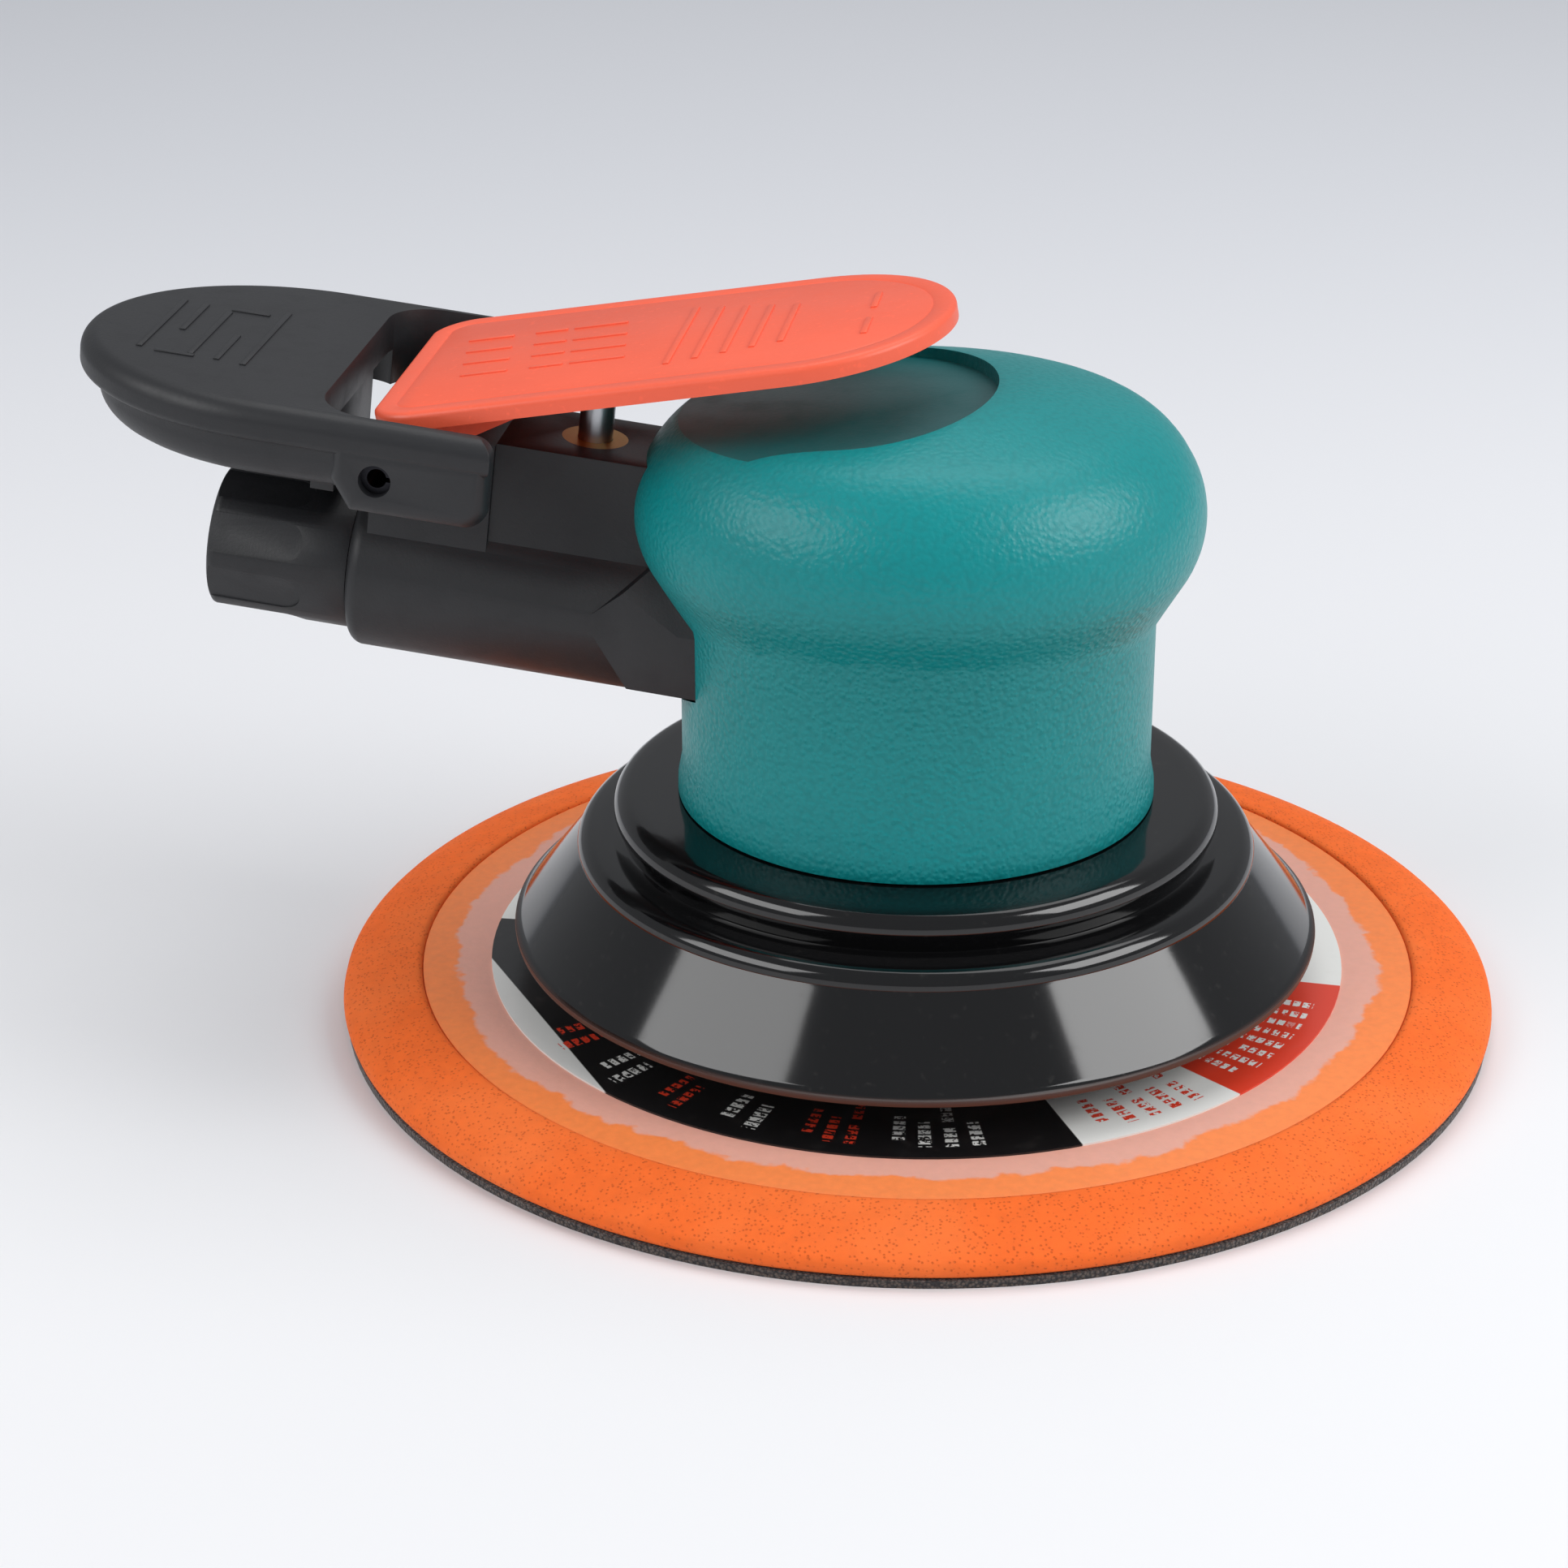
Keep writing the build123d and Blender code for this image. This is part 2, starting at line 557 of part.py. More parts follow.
with BuildPart() as motor_housing:
    add(housing_shell(HOUSING_RADIUS, HOUSING_BOTTOM_Z, HOUSING_TOP_Z, HOUSING_CORNER))
    with BuildSketch(cross_plane(5)):
        Circle(NECK_RADIUS)
    extrude(amount=NECK_END - 5)
    fillet(motor_housing.faces().sort_by(Axis.X)[0].edges(), 1.8)
    add(neck_block(BLOCK_OUTLINE, FLARE_START + 1))
    # web that holds the valve bushing
    with BuildSketch(plan_plane(0)):
        with Locations(((VALVE_WEB_START + SADDLE_START + 1) / 2, 0)):
            Rectangle(SADDLE_START + 1 - VALVE_WEB_START, 2 * VALVE_WEB_HALF_WIDTH)
    extrude(amount=VALVE_WEB_TOP)
    # saddle that the lever and the wrist rest are pinned to
    with BuildSketch(side_plane().offset(-SADDLE_HALF_WIDTH)):
        with BuildLine():
            Polyline(
                (SADDLE_START, 5),
                (SADDLE_START, VALVE_WEB_TOP),
                (PIN_ALONG - 6, SADDLE_TOP),
                (SADDLE_END - 2, SADDLE_TOP),
            )
            RadiusArc((SADDLE_END - 2, SADDLE_TOP), (SADDLE_END, SADDLE_TOP - 2), 2)
            Polyline((SADDLE_END, SADDLE_TOP - 2), (SADDLE_END, 5), (SADDLE_START, 5))
        make_face()
    extrude(amount=2 * SADDLE_HALF_WIDTH)
    # motor bore, the thread for the lock ring and the pocket for the rear bearing
    for radius, bottom, top in (
        (HOUSING_RADIUS - 1.4, HOUSING_BOTTOM_Z, FRONT_PLATE_Z),
        (MOTOR_RADIUS, FRONT_PLATE_Z, REAR_FLANGE_TOP_Z + 0.1),
        (REAR_BOSS_RADIUS + 0.2, REAR_FLANGE_TOP_Z, SHAFT_TOP_Z + 0.6),
    ):
        with BuildSketch(Plane.XY.offset(bottom)):
            Circle(radius)
        extrude(amount=top - bottom, mode=Mode.SUBTRACT)
    # air passage, silencer chamber, valve bushing's bore and the pin's bore
    with BuildSketch(cross_plane(MOTOR_RADIUS - 3)):
        Circle(NECK_BORE_RADIUS)
    extrude(amount=NECK_END, mode=Mode.SUBTRACT)
    with BuildSketch(cross_plane(SILENCER_START)):
        Circle(SILENCER_BORE_RADIUS)
    extrude(amount=NECK_END, mode=Mode.SUBTRACT)
    with BuildSketch(plan_plane(3)):
        with Locations((STEM_ALONG, 0)):
            Circle(BUSHING_RADIUS)
    extrude(amount=VALVE_WEB_TOP, mode=Mode.SUBTRACT)
    with BuildSketch(side_plane().offset(-SADDLE_HALF_WIDTH)):
        with Locations((PIN_ALONG, PIN_HEIGHT)):
            Circle(PIN_RADIUS)
    extrude(amount=2 * SADDLE_HALF_WIDTH, mode=Mode.SUBTRACT)
save(motor_housing, "motor_housing")

# ---- air inlet and silencer ------------------------------------------------------------------
BUSHING_NECK_RADIUS = 7.0
INLET_PASSAGE_RADIUS = 4.2
SCREEN_RADIUS = 5.0
SCREEN_THICKNESS = 1.2
INLET_FLANGE = 2.5
thread_start = INLET_END - INLET_THREAD_LENGTH

with BuildPart() as inlet_bushing:
    with BuildSketch(cross_plane(SILENCER_START)):
        Circle(SILENCER_BORE_RADIUS)
    extrude(amount=INLET_FLANGE)
    with BuildSketch(cross_plane(SILENCER_START + INLET_FLANGE)):
        Circle(BUSHING_NECK_RADIUS)
    extrude(amount=INLET_END - SILENCER_START - INLET_FLANGE)
    for radius, start, end in (
        (INLET_PASSAGE_RADIUS, SILENCER_START, thread_start - SCREEN_THICKNESS),
        (SCREEN_RADIUS, thread_start - SCREEN_THICKNESS, thread_start),
        (INLET_THREAD_RADIUS, thread_start, INLET_END),
    ):
        with BuildSketch(cross_plane(start)):
            Circle(radius)
        extrude(amount=end - start, mode=Mode.SUBTRACT)
save(inlet_bushing, "inlet_bushing")

with BuildPart() as inlet_screen:
    with BuildSketch(cross_plane(thread_start - SCREEN_THICKNESS)):
        Circle(SCREEN_RADIUS)
        with GridLocations(1.6, 1.6, 5, 5):
            Circle(0.55, mode=Mode.SUBTRACT)
    extrude(amount=SCREEN_THICKNESS)
save(inlet_screen, "inlet_screen")

with BuildPart() as silencer_felt:
    with BuildSketch(cross_plane(SILENCER_START + INLET_FLANGE)):
        Circle(SILENCER_BORE_RADIUS)
        Circle(BUSHING_NECK_RADIUS, mode=Mode.SUBTRACT)
    extrude(amount=NECK_END - SILENCER_START - INLET_FLANGE)
save(silencer_felt, "silencer_felt")

FLAT_COUNT = 8
FLAT_START = 78.5
FLAT_DEPTH = 0.55
FLAT_HALF_WIDTH = 2.6
with BuildPart() as muffler_cap:
    with BuildSketch(cross_plane(NECK_END + 0.15)):
        Circle(CAP_RADIUS)
    extrude(amount=CAP_END - NECK_END - 0.15)
    fillet(muffler_cap.faces().sort_by(Axis.X)[0].edges(), 1.2)
    # finger flats: slots with rounded inner ends
    for index in range(FLAT_COUNT):
        turn = 2 * math.pi * (index + 0.5) / FLAT_COUNT
        facing = upright * math.cos(turn) + Vector(0, 1, 0) * math.sin(turn)
        with BuildSketch(Plane(neck_root + facing * (CAP_RADIUS - FLAT_DEPTH), x_dir=outward, z_dir=facing)):
            with Locations(((FLAT_START + CAP_END + 6) / 2, 0)):
                SlotOverall(CAP_END + 6 - FLAT_START, 2 * FLAT_HALF_WIDTH)
        extrude(amount=2, mode=Mode.SUBTRACT)
    with BuildSketch(cross_plane(NECK_END)):
        Circle(BUSHING_NECK_RADIUS)
    extrude(amount=3, mode=Mode.SUBTRACT)
    with BuildSketch(cross_plane(NECK_END + 2.5)):
        Circle(CAP_RADIUS - 1.5)
    extrude(amount=CAP_END - NECK_END, mode=Mode.SUBTRACT)
save(muffler_cap, "muffler_cap")

# ---- throttle valve ----------------------------------------------------------------------------
SEAT_START = 51.0
SEAT_LENGTH = 3.0
SEAT_BORE = 4.4
TIP_VALVE_RADIUS = 5.6
TIP_VALVE_THICKNESS = 2.2
TIP_VALVE_GAP = 0.2
TIP_STEM_RADIUS = 1.2
TIP_STEM_END = 41.0
GLAND_HEIGHT = 1.9
ORING_STEM_HEIGHT = 1.6
STEM_BOTTOM = 1.45
STEM_TOP = 28.3
STEM_CHAMFER = 0.8
STEM_LEVER_GAP = 0.3
tip_valve_start = SEAT_START + SEAT_LENGTH + TIP_VALVE_GAP
tip_valve_end = tip_valve_start + TIP_VALVE_THICKNESS

ring(cross_plane(0), SEAT_BORE, NECK_BORE_RADIUS, SEAT_START, SEAT_START + SEAT_LENGTH, "valve_seat")

with BuildPart() as tip_valve:
    with BuildSketch(cross_plane(tip_valve_start)):
        Circle(TIP_VALVE_RADIUS)
    extrude(amount=TIP_VALVE_THICKNESS)
    with BuildSketch(cross_plane(tip_valve_start)):
        Circle(TIP_STEM_RADIUS)
    extrude(amount=-(tip_valve_start - TIP_STEM_END))
save(tip_valve, "tip_valve")

SPRING_WIRE = 0.35
spring_length = SILENCER_START - tip_valve_end
with BuildPart() as valve_spring:
    with BuildLine() as coil:
        Helix(
            pitch=(spring_length - 2 * SPRING_WIRE - 0.1) / 3,
            height=spring_length - 2 * SPRING_WIRE - 0.1,
            radius=3.4,
            center=handle_point(tip_valve_end + SPRING_WIRE + 0.05),
            direction=outward,
            cone_angle=25,
        )
    with BuildSketch(Plane(origin=coil.line @ 0, z_dir=coil.line % 0)):
        Circle(SPRING_WIRE)
    sweep()
save(valve_spring, "valve_spring")

gland_bottom = VALVE_WEB_TOP - GLAND_HEIGHT
oring_bottom = gland_bottom - ORING_STEM_HEIGHT
stem_plane = Plane(origin=handle_point(STEM_ALONG), x_dir=outward, z_dir=upright)
ring(stem_plane, STEM_RADIUS + RUNNING_GAP, BUSHING_RADIUS, 6.0, oring_bottom, "valve_bushing")
ring(stem_plane, STEM_RADIUS + RUNNING_GAP, BUSHING_RADIUS, oring_bottom, gland_bottom, "valve_oring")
ring(stem_plane, STEM_RADIUS + RUNNING_GAP, BUSHING_RADIUS, gland_bottom, VALVE_WEB_TOP, "gland_bush")

with BuildPart() as valve_stem:
    with BuildSketch(stem_plane.offset(STEM_BOTTOM)):
        Circle(STEM_RADIUS)
    extrude(amount=STEM_TOP - STEM_BOTTOM)
    fillet(valve_stem.faces().sort_by(Axis.Z)[0].edges(), STEM_RADIUS - RUNNING_GAP)
    chamfer(valve_stem.faces().sort_by(Axis.Z)[-1].edges(), STEM_CHAMFER)
save(valve_stem, "valve_stem")

# ---- throttle lever ------------------------------------------------------------------------------
TIP_CENTRE = 50.0             # along the lever, where its rounded tip begins
TIP_LENGTH = 19.0
REAR_EDGE = -1.5
LUG_INNER = 10.0
LUG_OUTER = 12.6
LUG_RADIUS = 4.2
LEVER_BOSS_RADIUS = 3.6

with BuildPart() as throttle_lever:
    with BuildSketch(lever_plane()):
        with BuildLine():
            EllipticalCenterArc(
                (TIP_CENTRE, 0),
                TIP_LENGTH,
                LEVER_TIP_HALF_WIDTH,
                start_angle=-90,
                arc_size=180,
            )
            Line((TIP_CENTRE, LEVER_TIP_HALF_WIDTH), (4, LEVER_HALF_WIDTH))
            RadiusArc((4, LEVER_HALF_WIDTH), (REAR_EDGE, 15.5), -6)
            Line((REAR_EDGE, 15.5), (REAR_EDGE, -15.5))
            RadiusArc((REAR_EDGE, -15.5), (4, -LEVER_HALF_WIDTH), -6)
            Line((4, -LEVER_HALF_WIDTH), (TIP_CENTRE, -LEVER_TIP_HALF_WIDTH))
        make_face()
    extrude(amount=-LEVER_THICKNESS)
    fillet(throttle_lever.faces().sort_by(Axis((0, 0, 0), lever_plane().z_dir))[-1].edges(), 0.8)
    # lugs down to the pin, one each side of the saddle
    for side in (-1, 1):
        with BuildSketch(side_plane().offset(side * (LUG_INNER + LUG_OUTER) / 2)):
            with BuildLine():
                Polyline(
                    (PIN_ALONG + LUG_RADIUS, PIN_HEIGHT),
                    (PIN_ALONG + 2.5, PIN_HEIGHT + 4.4),
                    (PIN_ALONG - 16, PIN_HEIGHT + 7.5),
                    (PIN_ALONG - LUG_RADIUS, PIN_HEIGHT),
                )
                ThreePointArc(
                    (PIN_ALONG - LUG_RADIUS, PIN_HEIGHT),
                    (PIN_ALONG, PIN_HEIGHT - LUG_RADIUS),
                    (PIN_ALONG + LUG_RADIUS, PIN_HEIGHT),
                )
            make_face()
        extrude(amount=(LUG_OUTER - LUG_INNER) / 2, both=True)
        with BuildSketch(side_plane().offset(side * (LUG_INNER + LUG_OUTER) / 2)):
            with Locations((PIN_ALONG, PIN_HEIGHT)):
                Circle(PIN_RADIUS + RUNNING_GAP)
        extrude(amount=LUG_OUTER, both=True, mode=Mode.SUBTRACT)
    # the pad that presses the valve stem
    with BuildSketch(stem_plane.offset(STEM_TOP + STEM_LEVER_GAP)):
        Circle(LEVER_BOSS_RADIUS)
    extrude(until=Until.LAST)
save(throttle_lever, "throttle_lever")

# ---- wrist rest with the lever's guard -----------------------------------------------------------
REST_TIP_CENTRE = 82.0        # along the neck, where the tongue's rounded end begins
REST_TIP_LENGTH = 28.0
REST_ROUND = 2.4
HULL_TOP = 23.4
HULL_ROUND = 4.0
HULL_INSET = 2.6
ARM_START = 52.5
ARM_BOTTOM = 15.4
ARM_STEP = 69.5
ARM_ROUND = 2.0
FORK_END = 75.0
FORK_CORNER = 6.5
RIB_BOTTOM = 11.6
along_neck = Axis((0, 0, 0), outward)
over_neck = Axis((0, 0, 0), upright)


def tongue(bottom, top, start, half_width, tip_length, low_round, high_round):
    """A slab of the tongue between two heights: straight sides, a long elliptical end, rounded rims."""
    with BuildPart() as slab:
        with BuildSketch(plan_plane(bottom)) as outline:
            with BuildLine():
                EllipticalCenterArc(
                    (REST_TIP_CENTRE, 0),
                    tip_length,
                    half_width,
                    start_angle=-90,
                    arc_size=180,
                )
                Polyline(
                    (REST_TIP_CENTRE, half_width),
                    (start, half_width),
                    (start, -half_width),
                    (REST_TIP_CENTRE, -half_width),
                )
            make_face()
            fillet(outline.vertices().group_by(along_neck)[0], ARM_ROUND + 0.5)
        extrude(amount=top - bottom)
        fillet(slab.faces().sort_by(over_neck)[-1].edges(), high_round)
        fillet(slab.faces().sort_by(over_neck)[0].edges(), low_round)
    return slab.part


def fork_arms():
    """The block that the fork's two arms are cut from, rounded outside."""
    with BuildPart() as block:
        with BuildSketch(side_plane().offset(-FORK_OUTER)) as profile:
            Polygon(
                (ARM_START, ARM_BOTTOM),
                (ARM_STEP, ARM_BOTTOM),
                (ARM_STEP + 2.6, REST_BOTTOM + 2),
                (ARM_STEP + 2.6, HULL_TOP + 1),
                (ARM_START, HULL_TOP + 1),
                align=None,
            )
            fillet(profile.vertices().sort_by_distance(handle_point(ARM_START, ARM_BOTTOM))[0], 3)
        extrude(amount=2 * FORK_OUTER)
        fillet(block.faces().sort_by(Axis.Y)[0].edges() + block.faces().sort_by(Axis.Y)[-1].edges(), ARM_ROUND)
    return block.part


with BuildPart() as wrist_rest:
    add(tongue(REST_BOTTOM, HULL_TOP, ARM_STEP, FORK_OUTER - 0.8, REST_TIP_LENGTH - HULL_INSET, HULL_ROUND, 0.5))
    add(tongue(HULL_TOP - 0.9, REST_TOP, ARM_START, FORK_OUTER, REST_TIP_LENGTH, 1.0, REST_ROUND))
    add(fork_arms())
    # the fork's opening
    with BuildSketch(plan_plane(ARM_BOTTOM - 1)):
        with Locations(((FORK_END + ARM_START) / 2 - 10, 0)):
            RectangleRounded(FORK_END - ARM_START + 20, 2 * FORK_INNER, FORK_CORNER)
    extrude(amount=REST_TOP, mode=Mode.SUBTRACT)
    with BuildSketch(plan_plane(ARM_BOTTOM - 1)):
        with Locations((ARM_START - 10, 0)):
            Rectangle(40, 2 * FORK_INNER)
    extrude(amount=REST_TOP, mode=Mode.SUBTRACT)
    # the hollow underside, open towards the fork
    with BuildSketch(plan_plane(REST_BOTTOM - 1)):
        with Locations((85.5, 0)):
            RectangleRounded(27, 38, 6)
    extrude(amount=REST_TOP - 4 - REST_BOTTOM, mode=Mode.SUBTRACT)
    # the rib that hooks behind the saddle
    with BuildSketch(plan_plane(RIB_BOTTOM)):
        with Locations((FORK_END + 1.5, 0)):
            Rectangle(3, 2 * SADDLE_HALF_WIDTH)
    extrude(amount=REST_TOP - 3 - RIB_BOTTOM)
    with BuildSketch(side_plane().offset(-FORK_OUTER)):
        with Locations((PIN_ALONG, PIN_HEIGHT)):
            Circle(PIN_RADIUS)
    extrude(amount=2 * FORK_OUTER, mode=Mode.SUBTRACT)
save(wrist_rest, "wrist_rest")

PIN_RECESS = 1.3
with BuildPart() as lever_pin:
    with BuildSketch(side_plane().offset(-(FORK_OUTER - PIN_RECESS))):
        with Locations((PIN_ALONG, PIN_HEIGHT)):
            Circle(PIN_RADIUS)
            Circle(PIN_RADIUS - 0.8, mode=Mode.SUBTRACT)
        with Locations((PIN_ALONG - PIN_RADIUS, PIN_HEIGHT)):
            Rectangle(2.4, 0.6, mode=Mode.SUBTRACT)
    extrude(amount=2 * (FORK_OUTER - PIN_RECESS))
save(lever_pin, "lever_pin")

# ---- shroud ---------------------------------------------------------------------------------------
with BuildPart() as shroud:
    with BuildSketch(Plane.XZ):
        with BuildLine():
            Polyline(
                (HOUSING_RADIUS, 28.6),
                (HOUSING_RADIUS, SHROUD_NECK_TOP_Z),
                (SHROUD_NECK_RADIUS, SHROUD_NECK_TOP_Z),
                (SHROUD_NECK_RADIUS, 30.6),
                (35.6, 30.4),
            )
            ThreePointArc((35.6, 30.4), (37.9, 28.7), (37.0, 26.2))
            RadiusArc((37.0, 26.2), (38.4, 25.7), -1)
            Line((38.4, 25.7), (42.6, 25.2))
            RadiusArc((42.6, 25.2), (44.1, 24.0), 2)
            Polyline((44.1, 24.0), (43.7, 23.6), (44.2, 23.2), (51.7, 13.0))
            Polyline((51.7, 13.0), (SHROUD_RIM_RADIUS, 12.6), (SHROUD_RIM_RADIUS, SHROUD_RIM_Z))
            Polyline(
                (SHROUD_RIM_RADIUS, SHROUD_RIM_Z),
                (50.4, SHROUD_RIM_Z),
                (42.2, 23.2),
                (38.0, 23.9),
                (35.0, 24.6),
                (35.0, 28.6),
                (HOUSING_RADIUS, 28.6),
            )
        make_face()
    revolve(axis=Axis.Z)
save(shroud, "shroud")

# ---- grip cover -----------------------------------------------------------------------------------
HEAD_TOP_Z = 85.0
DISH_FLOOR_Z = 82.1           # over the motor axis
DISH_SLOPE = 4.2              # degrees, the dish's floor rises away from the handle
DISH_HALF_WIDTH = 20.8
DISH_TIP_CENTRE = -8.0
DISH_TIP_LENGTH = 17.8
NECK_CLEARANCE = 0.2

with BuildPart() as head:
    with BuildSketch(Plane.XZ):
        with BuildLine():
            ThreePointArc((29.0, 53.0), (31.7, 57.8), (34.4, 62.4))
            ThreePointArc((34.4, 62.4), (35.9, 68.0), (34.0, 75.4))
            ThreePointArc((34.0, 75.4), (31.0, 79.2), (26.0, 82.0))
            ThreePointArc((26.0, 82.0), (13.5, 84.5), (0, HEAD_TOP_Z))
            Polyline((0, HEAD_TOP_Z), (0, 53.0), (29.0, 53.0))
        make_face()
    revolve(axis=Axis.Z)
narrow_head = scale(head.part, by=(1, GRIP_WIDTH_RATIO, 1))

with BuildPart() as grip_cover:
    add(narrow_head)
    with BuildSketch(Plane.XY.offset(GRIP_BOTTOM_Z)):
        Circle(GRIP_WAIST_RADIUS)
    extrude(amount=32)
    with BuildSketch(Plane.XZ):
        with BuildLine():
            Polyline(
                (GRIP_WAIST_RADIUS - 1, GRIP_BOTTOM_Z),
                (GRIP_WAIST_RADIUS + 0.6, GRIP_BOTTOM_Z),
                (GRIP_WAIST_RADIUS + 0.55, GRIP_BOTTOM_Z + 1.6),
                (GRIP_WAIST_RADIUS, GRIP_BOTTOM_Z + 4.5),
                (GRIP_WAIST_RADIUS - 1, GRIP_BOTTOM_Z + 4.5),
                (GRIP_WAIST_RADIUS - 1, GRIP_BOTTOM_Z),
            )
        make_face()
    revolve(axis=Axis.Z)
    add(housing_shell(HOUSING_RADIUS, GRIP_BOTTOM_Z - 1, HOUSING_TOP_Z, HOUSING_CORNER), mode=Mode.SUBTRACT)
    with BuildSketch(Plane.XY.offset(GRIP_BOTTOM_Z)):
        Circle(SHROUD_NECK_RADIUS)
    extrude(amount=SHROUD_NECK_TOP_Z - GRIP_BOTTOM_Z, mode=Mode.SUBTRACT)
    # the dish that the lever sinks into
    dish_angle = math.radians(DISH_SLOPE)
    with BuildSketch(
        Plane(
            origin=(0, 0, DISH_FLOOR_Z),
            x_dir=(math.cos(dish_angle), 0, math.sin(dish_angle)),
            z_dir=(-math.sin(dish_angle), 0, math.cos(dish_angle)),
        )
    ):
        with BuildLine():
            EllipticalCenterArc(
                (DISH_TIP_CENTRE, 0),
                DISH_TIP_LENGTH,
                DISH_HALF_WIDTH,
                start_angle=-90,
                arc_size=180,
            )
            Polyline(
                (DISH_TIP_CENTRE, DISH_HALF_WIDTH),
                (-40, DISH_HALF_WIDTH),
                (-40, -DISH_HALF_WIDTH),
                (DISH_TIP_CENTRE, -DISH_HALF_WIDTH),
            )
        make_face()
    extrude(amount=12, mode=Mode.SUBTRACT)
    # the opening round the neck
    slot_outline = [(across * 1.014, height + math.copysign(NECK_CLEARANCE, height)) for across, height in BLOCK_OUTLINE]
    with BuildSketch(cross_plane(20)):
        Polygon(*slot_outline, align=None)
        Circle(NECK_RADIUS + NECK_CLEARANCE)
    extrude(amount=30, mode=Mode.SUBTRACT)
    # the notch round the valve web
    with BuildSketch(plan_plane(0)):
        with Locations((STEM_ALONG, 0)):
            Rectangle(2 * (STEM_ALONG - VALVE_WEB_START), 2 * (VALVE_WEB_HALF_WIDTH + NECK_CLEARANCE))
    extrude(amount=VALVE_WEB_TOP + NECK_CLEARANCE, mode=Mode.SUBTRACT)
save(grip_cover, "grip_cover")
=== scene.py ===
"""Looks of a pneumatic palm sander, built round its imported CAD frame.

Metres, +Z up, the pad's face on z = 0, the motor axis at the origin and the handle along -X.
"""

import json
import logging
import math
from dataclasses import dataclass
from enum import Enum

import bpy
from mathutils import Matrix, Vector


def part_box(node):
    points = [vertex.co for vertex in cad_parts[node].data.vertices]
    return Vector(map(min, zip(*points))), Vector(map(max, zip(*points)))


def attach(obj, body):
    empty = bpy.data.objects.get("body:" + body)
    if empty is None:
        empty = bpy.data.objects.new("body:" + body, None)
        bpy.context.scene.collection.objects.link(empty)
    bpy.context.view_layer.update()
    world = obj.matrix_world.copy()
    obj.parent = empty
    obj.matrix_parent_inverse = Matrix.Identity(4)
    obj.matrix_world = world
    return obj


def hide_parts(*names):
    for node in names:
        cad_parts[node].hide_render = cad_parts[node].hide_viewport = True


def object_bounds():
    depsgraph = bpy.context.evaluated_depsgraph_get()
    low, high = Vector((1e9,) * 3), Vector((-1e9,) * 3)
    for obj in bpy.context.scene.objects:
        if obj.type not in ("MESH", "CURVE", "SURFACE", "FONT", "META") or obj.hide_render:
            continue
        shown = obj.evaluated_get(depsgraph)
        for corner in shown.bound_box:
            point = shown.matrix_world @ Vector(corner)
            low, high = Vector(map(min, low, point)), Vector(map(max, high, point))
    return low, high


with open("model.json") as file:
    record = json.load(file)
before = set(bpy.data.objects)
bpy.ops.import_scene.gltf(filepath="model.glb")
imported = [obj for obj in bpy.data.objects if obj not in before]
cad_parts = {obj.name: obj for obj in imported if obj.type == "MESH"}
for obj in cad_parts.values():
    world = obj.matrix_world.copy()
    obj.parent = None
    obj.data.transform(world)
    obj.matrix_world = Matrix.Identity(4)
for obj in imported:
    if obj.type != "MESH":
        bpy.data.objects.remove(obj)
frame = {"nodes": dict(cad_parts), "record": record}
CAD_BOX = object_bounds()

MM = 0.001
Colour = tuple[float, float, float]
log = logging.getLogger("sander")


def paint(red: int, green: int, blue: int) -> Colour:
    """Turn a paint chart's 0-255 values into the linear colour that a shader takes.

    Args:
        red: Red, 0 to 255.
        green: Green, 0 to 255.
        blue: Blue, 0 to 255.

    Returns:
        The linear colour.
    """

    def linear(value: int) -> float:
        """Undo the display curve of one channel."""
        share = value / 255
        return share / 12.92 if share <= 0.04045 else ((share + 0.055) / 1.055) ** 2.4

    return (linear(red), linear(green), linear(blue))


# ---- shader arithmetic ---------------------------------------------------------------------------
class Signal:
    """A shader socket that takes part in Python arithmetic."""

    def __init__(self, graph: "Graph", socket: bpy.types.NodeSocket) -> None:
        """Keep the graph and the socket."""
        self.graph = graph
        self.socket = socket

    def combine(
        self,
        operation: str,
        first: "Signal | float",
        second: "Signal | float" = 0.0,
    ) -> "Signal":
        """Add one Math node.

        Args:
            operation: The Math node's operation.
            first: The first value.
            second: The second value.

        Returns:
            The result.
        """
        return self.graph.node("ShaderNodeMath", {"operation": operation}, {0: first, 1: second})

    def __add__(self, other: "Signal | float") -> "Signal":
        """Sum."""
        return self.combine("ADD", self, other)

    __radd__ = __add__

    def __sub__(self, other: "Signal | float") -> "Signal":
        """Difference."""
        return self.combine("SUBTRACT", self, other)

    def __rsub__(self, other: float) -> "Signal":
        """Difference, with the number first."""
        return self.combine("SUBTRACT", other, self)

    def __mul__(self, other: "Signal | float") -> "Signal":
        """Product."""
        return self.combine("MULTIPLY", self, other)

    __rmul__ = __mul__

    def __abs__(self) -> "Signal":
        """Size without its sign."""
        return self.combine("ABSOLUTE", self)

    def rises(self, start: float, end: float) -> "Signal":
        """A smooth step.

        Args:
            start: Where the step is still 0.
            end: Where the step reaches 1; less than start for a falling step.

        Returns:
            The step, 0 to 1.
        """
        inputs = {"Value": self, "From Min": start, "From Max": end}
        return self.graph.node("ShaderNodeMapRange", {"interpolation_type": "SMOOTHSTEP"}, inputs)


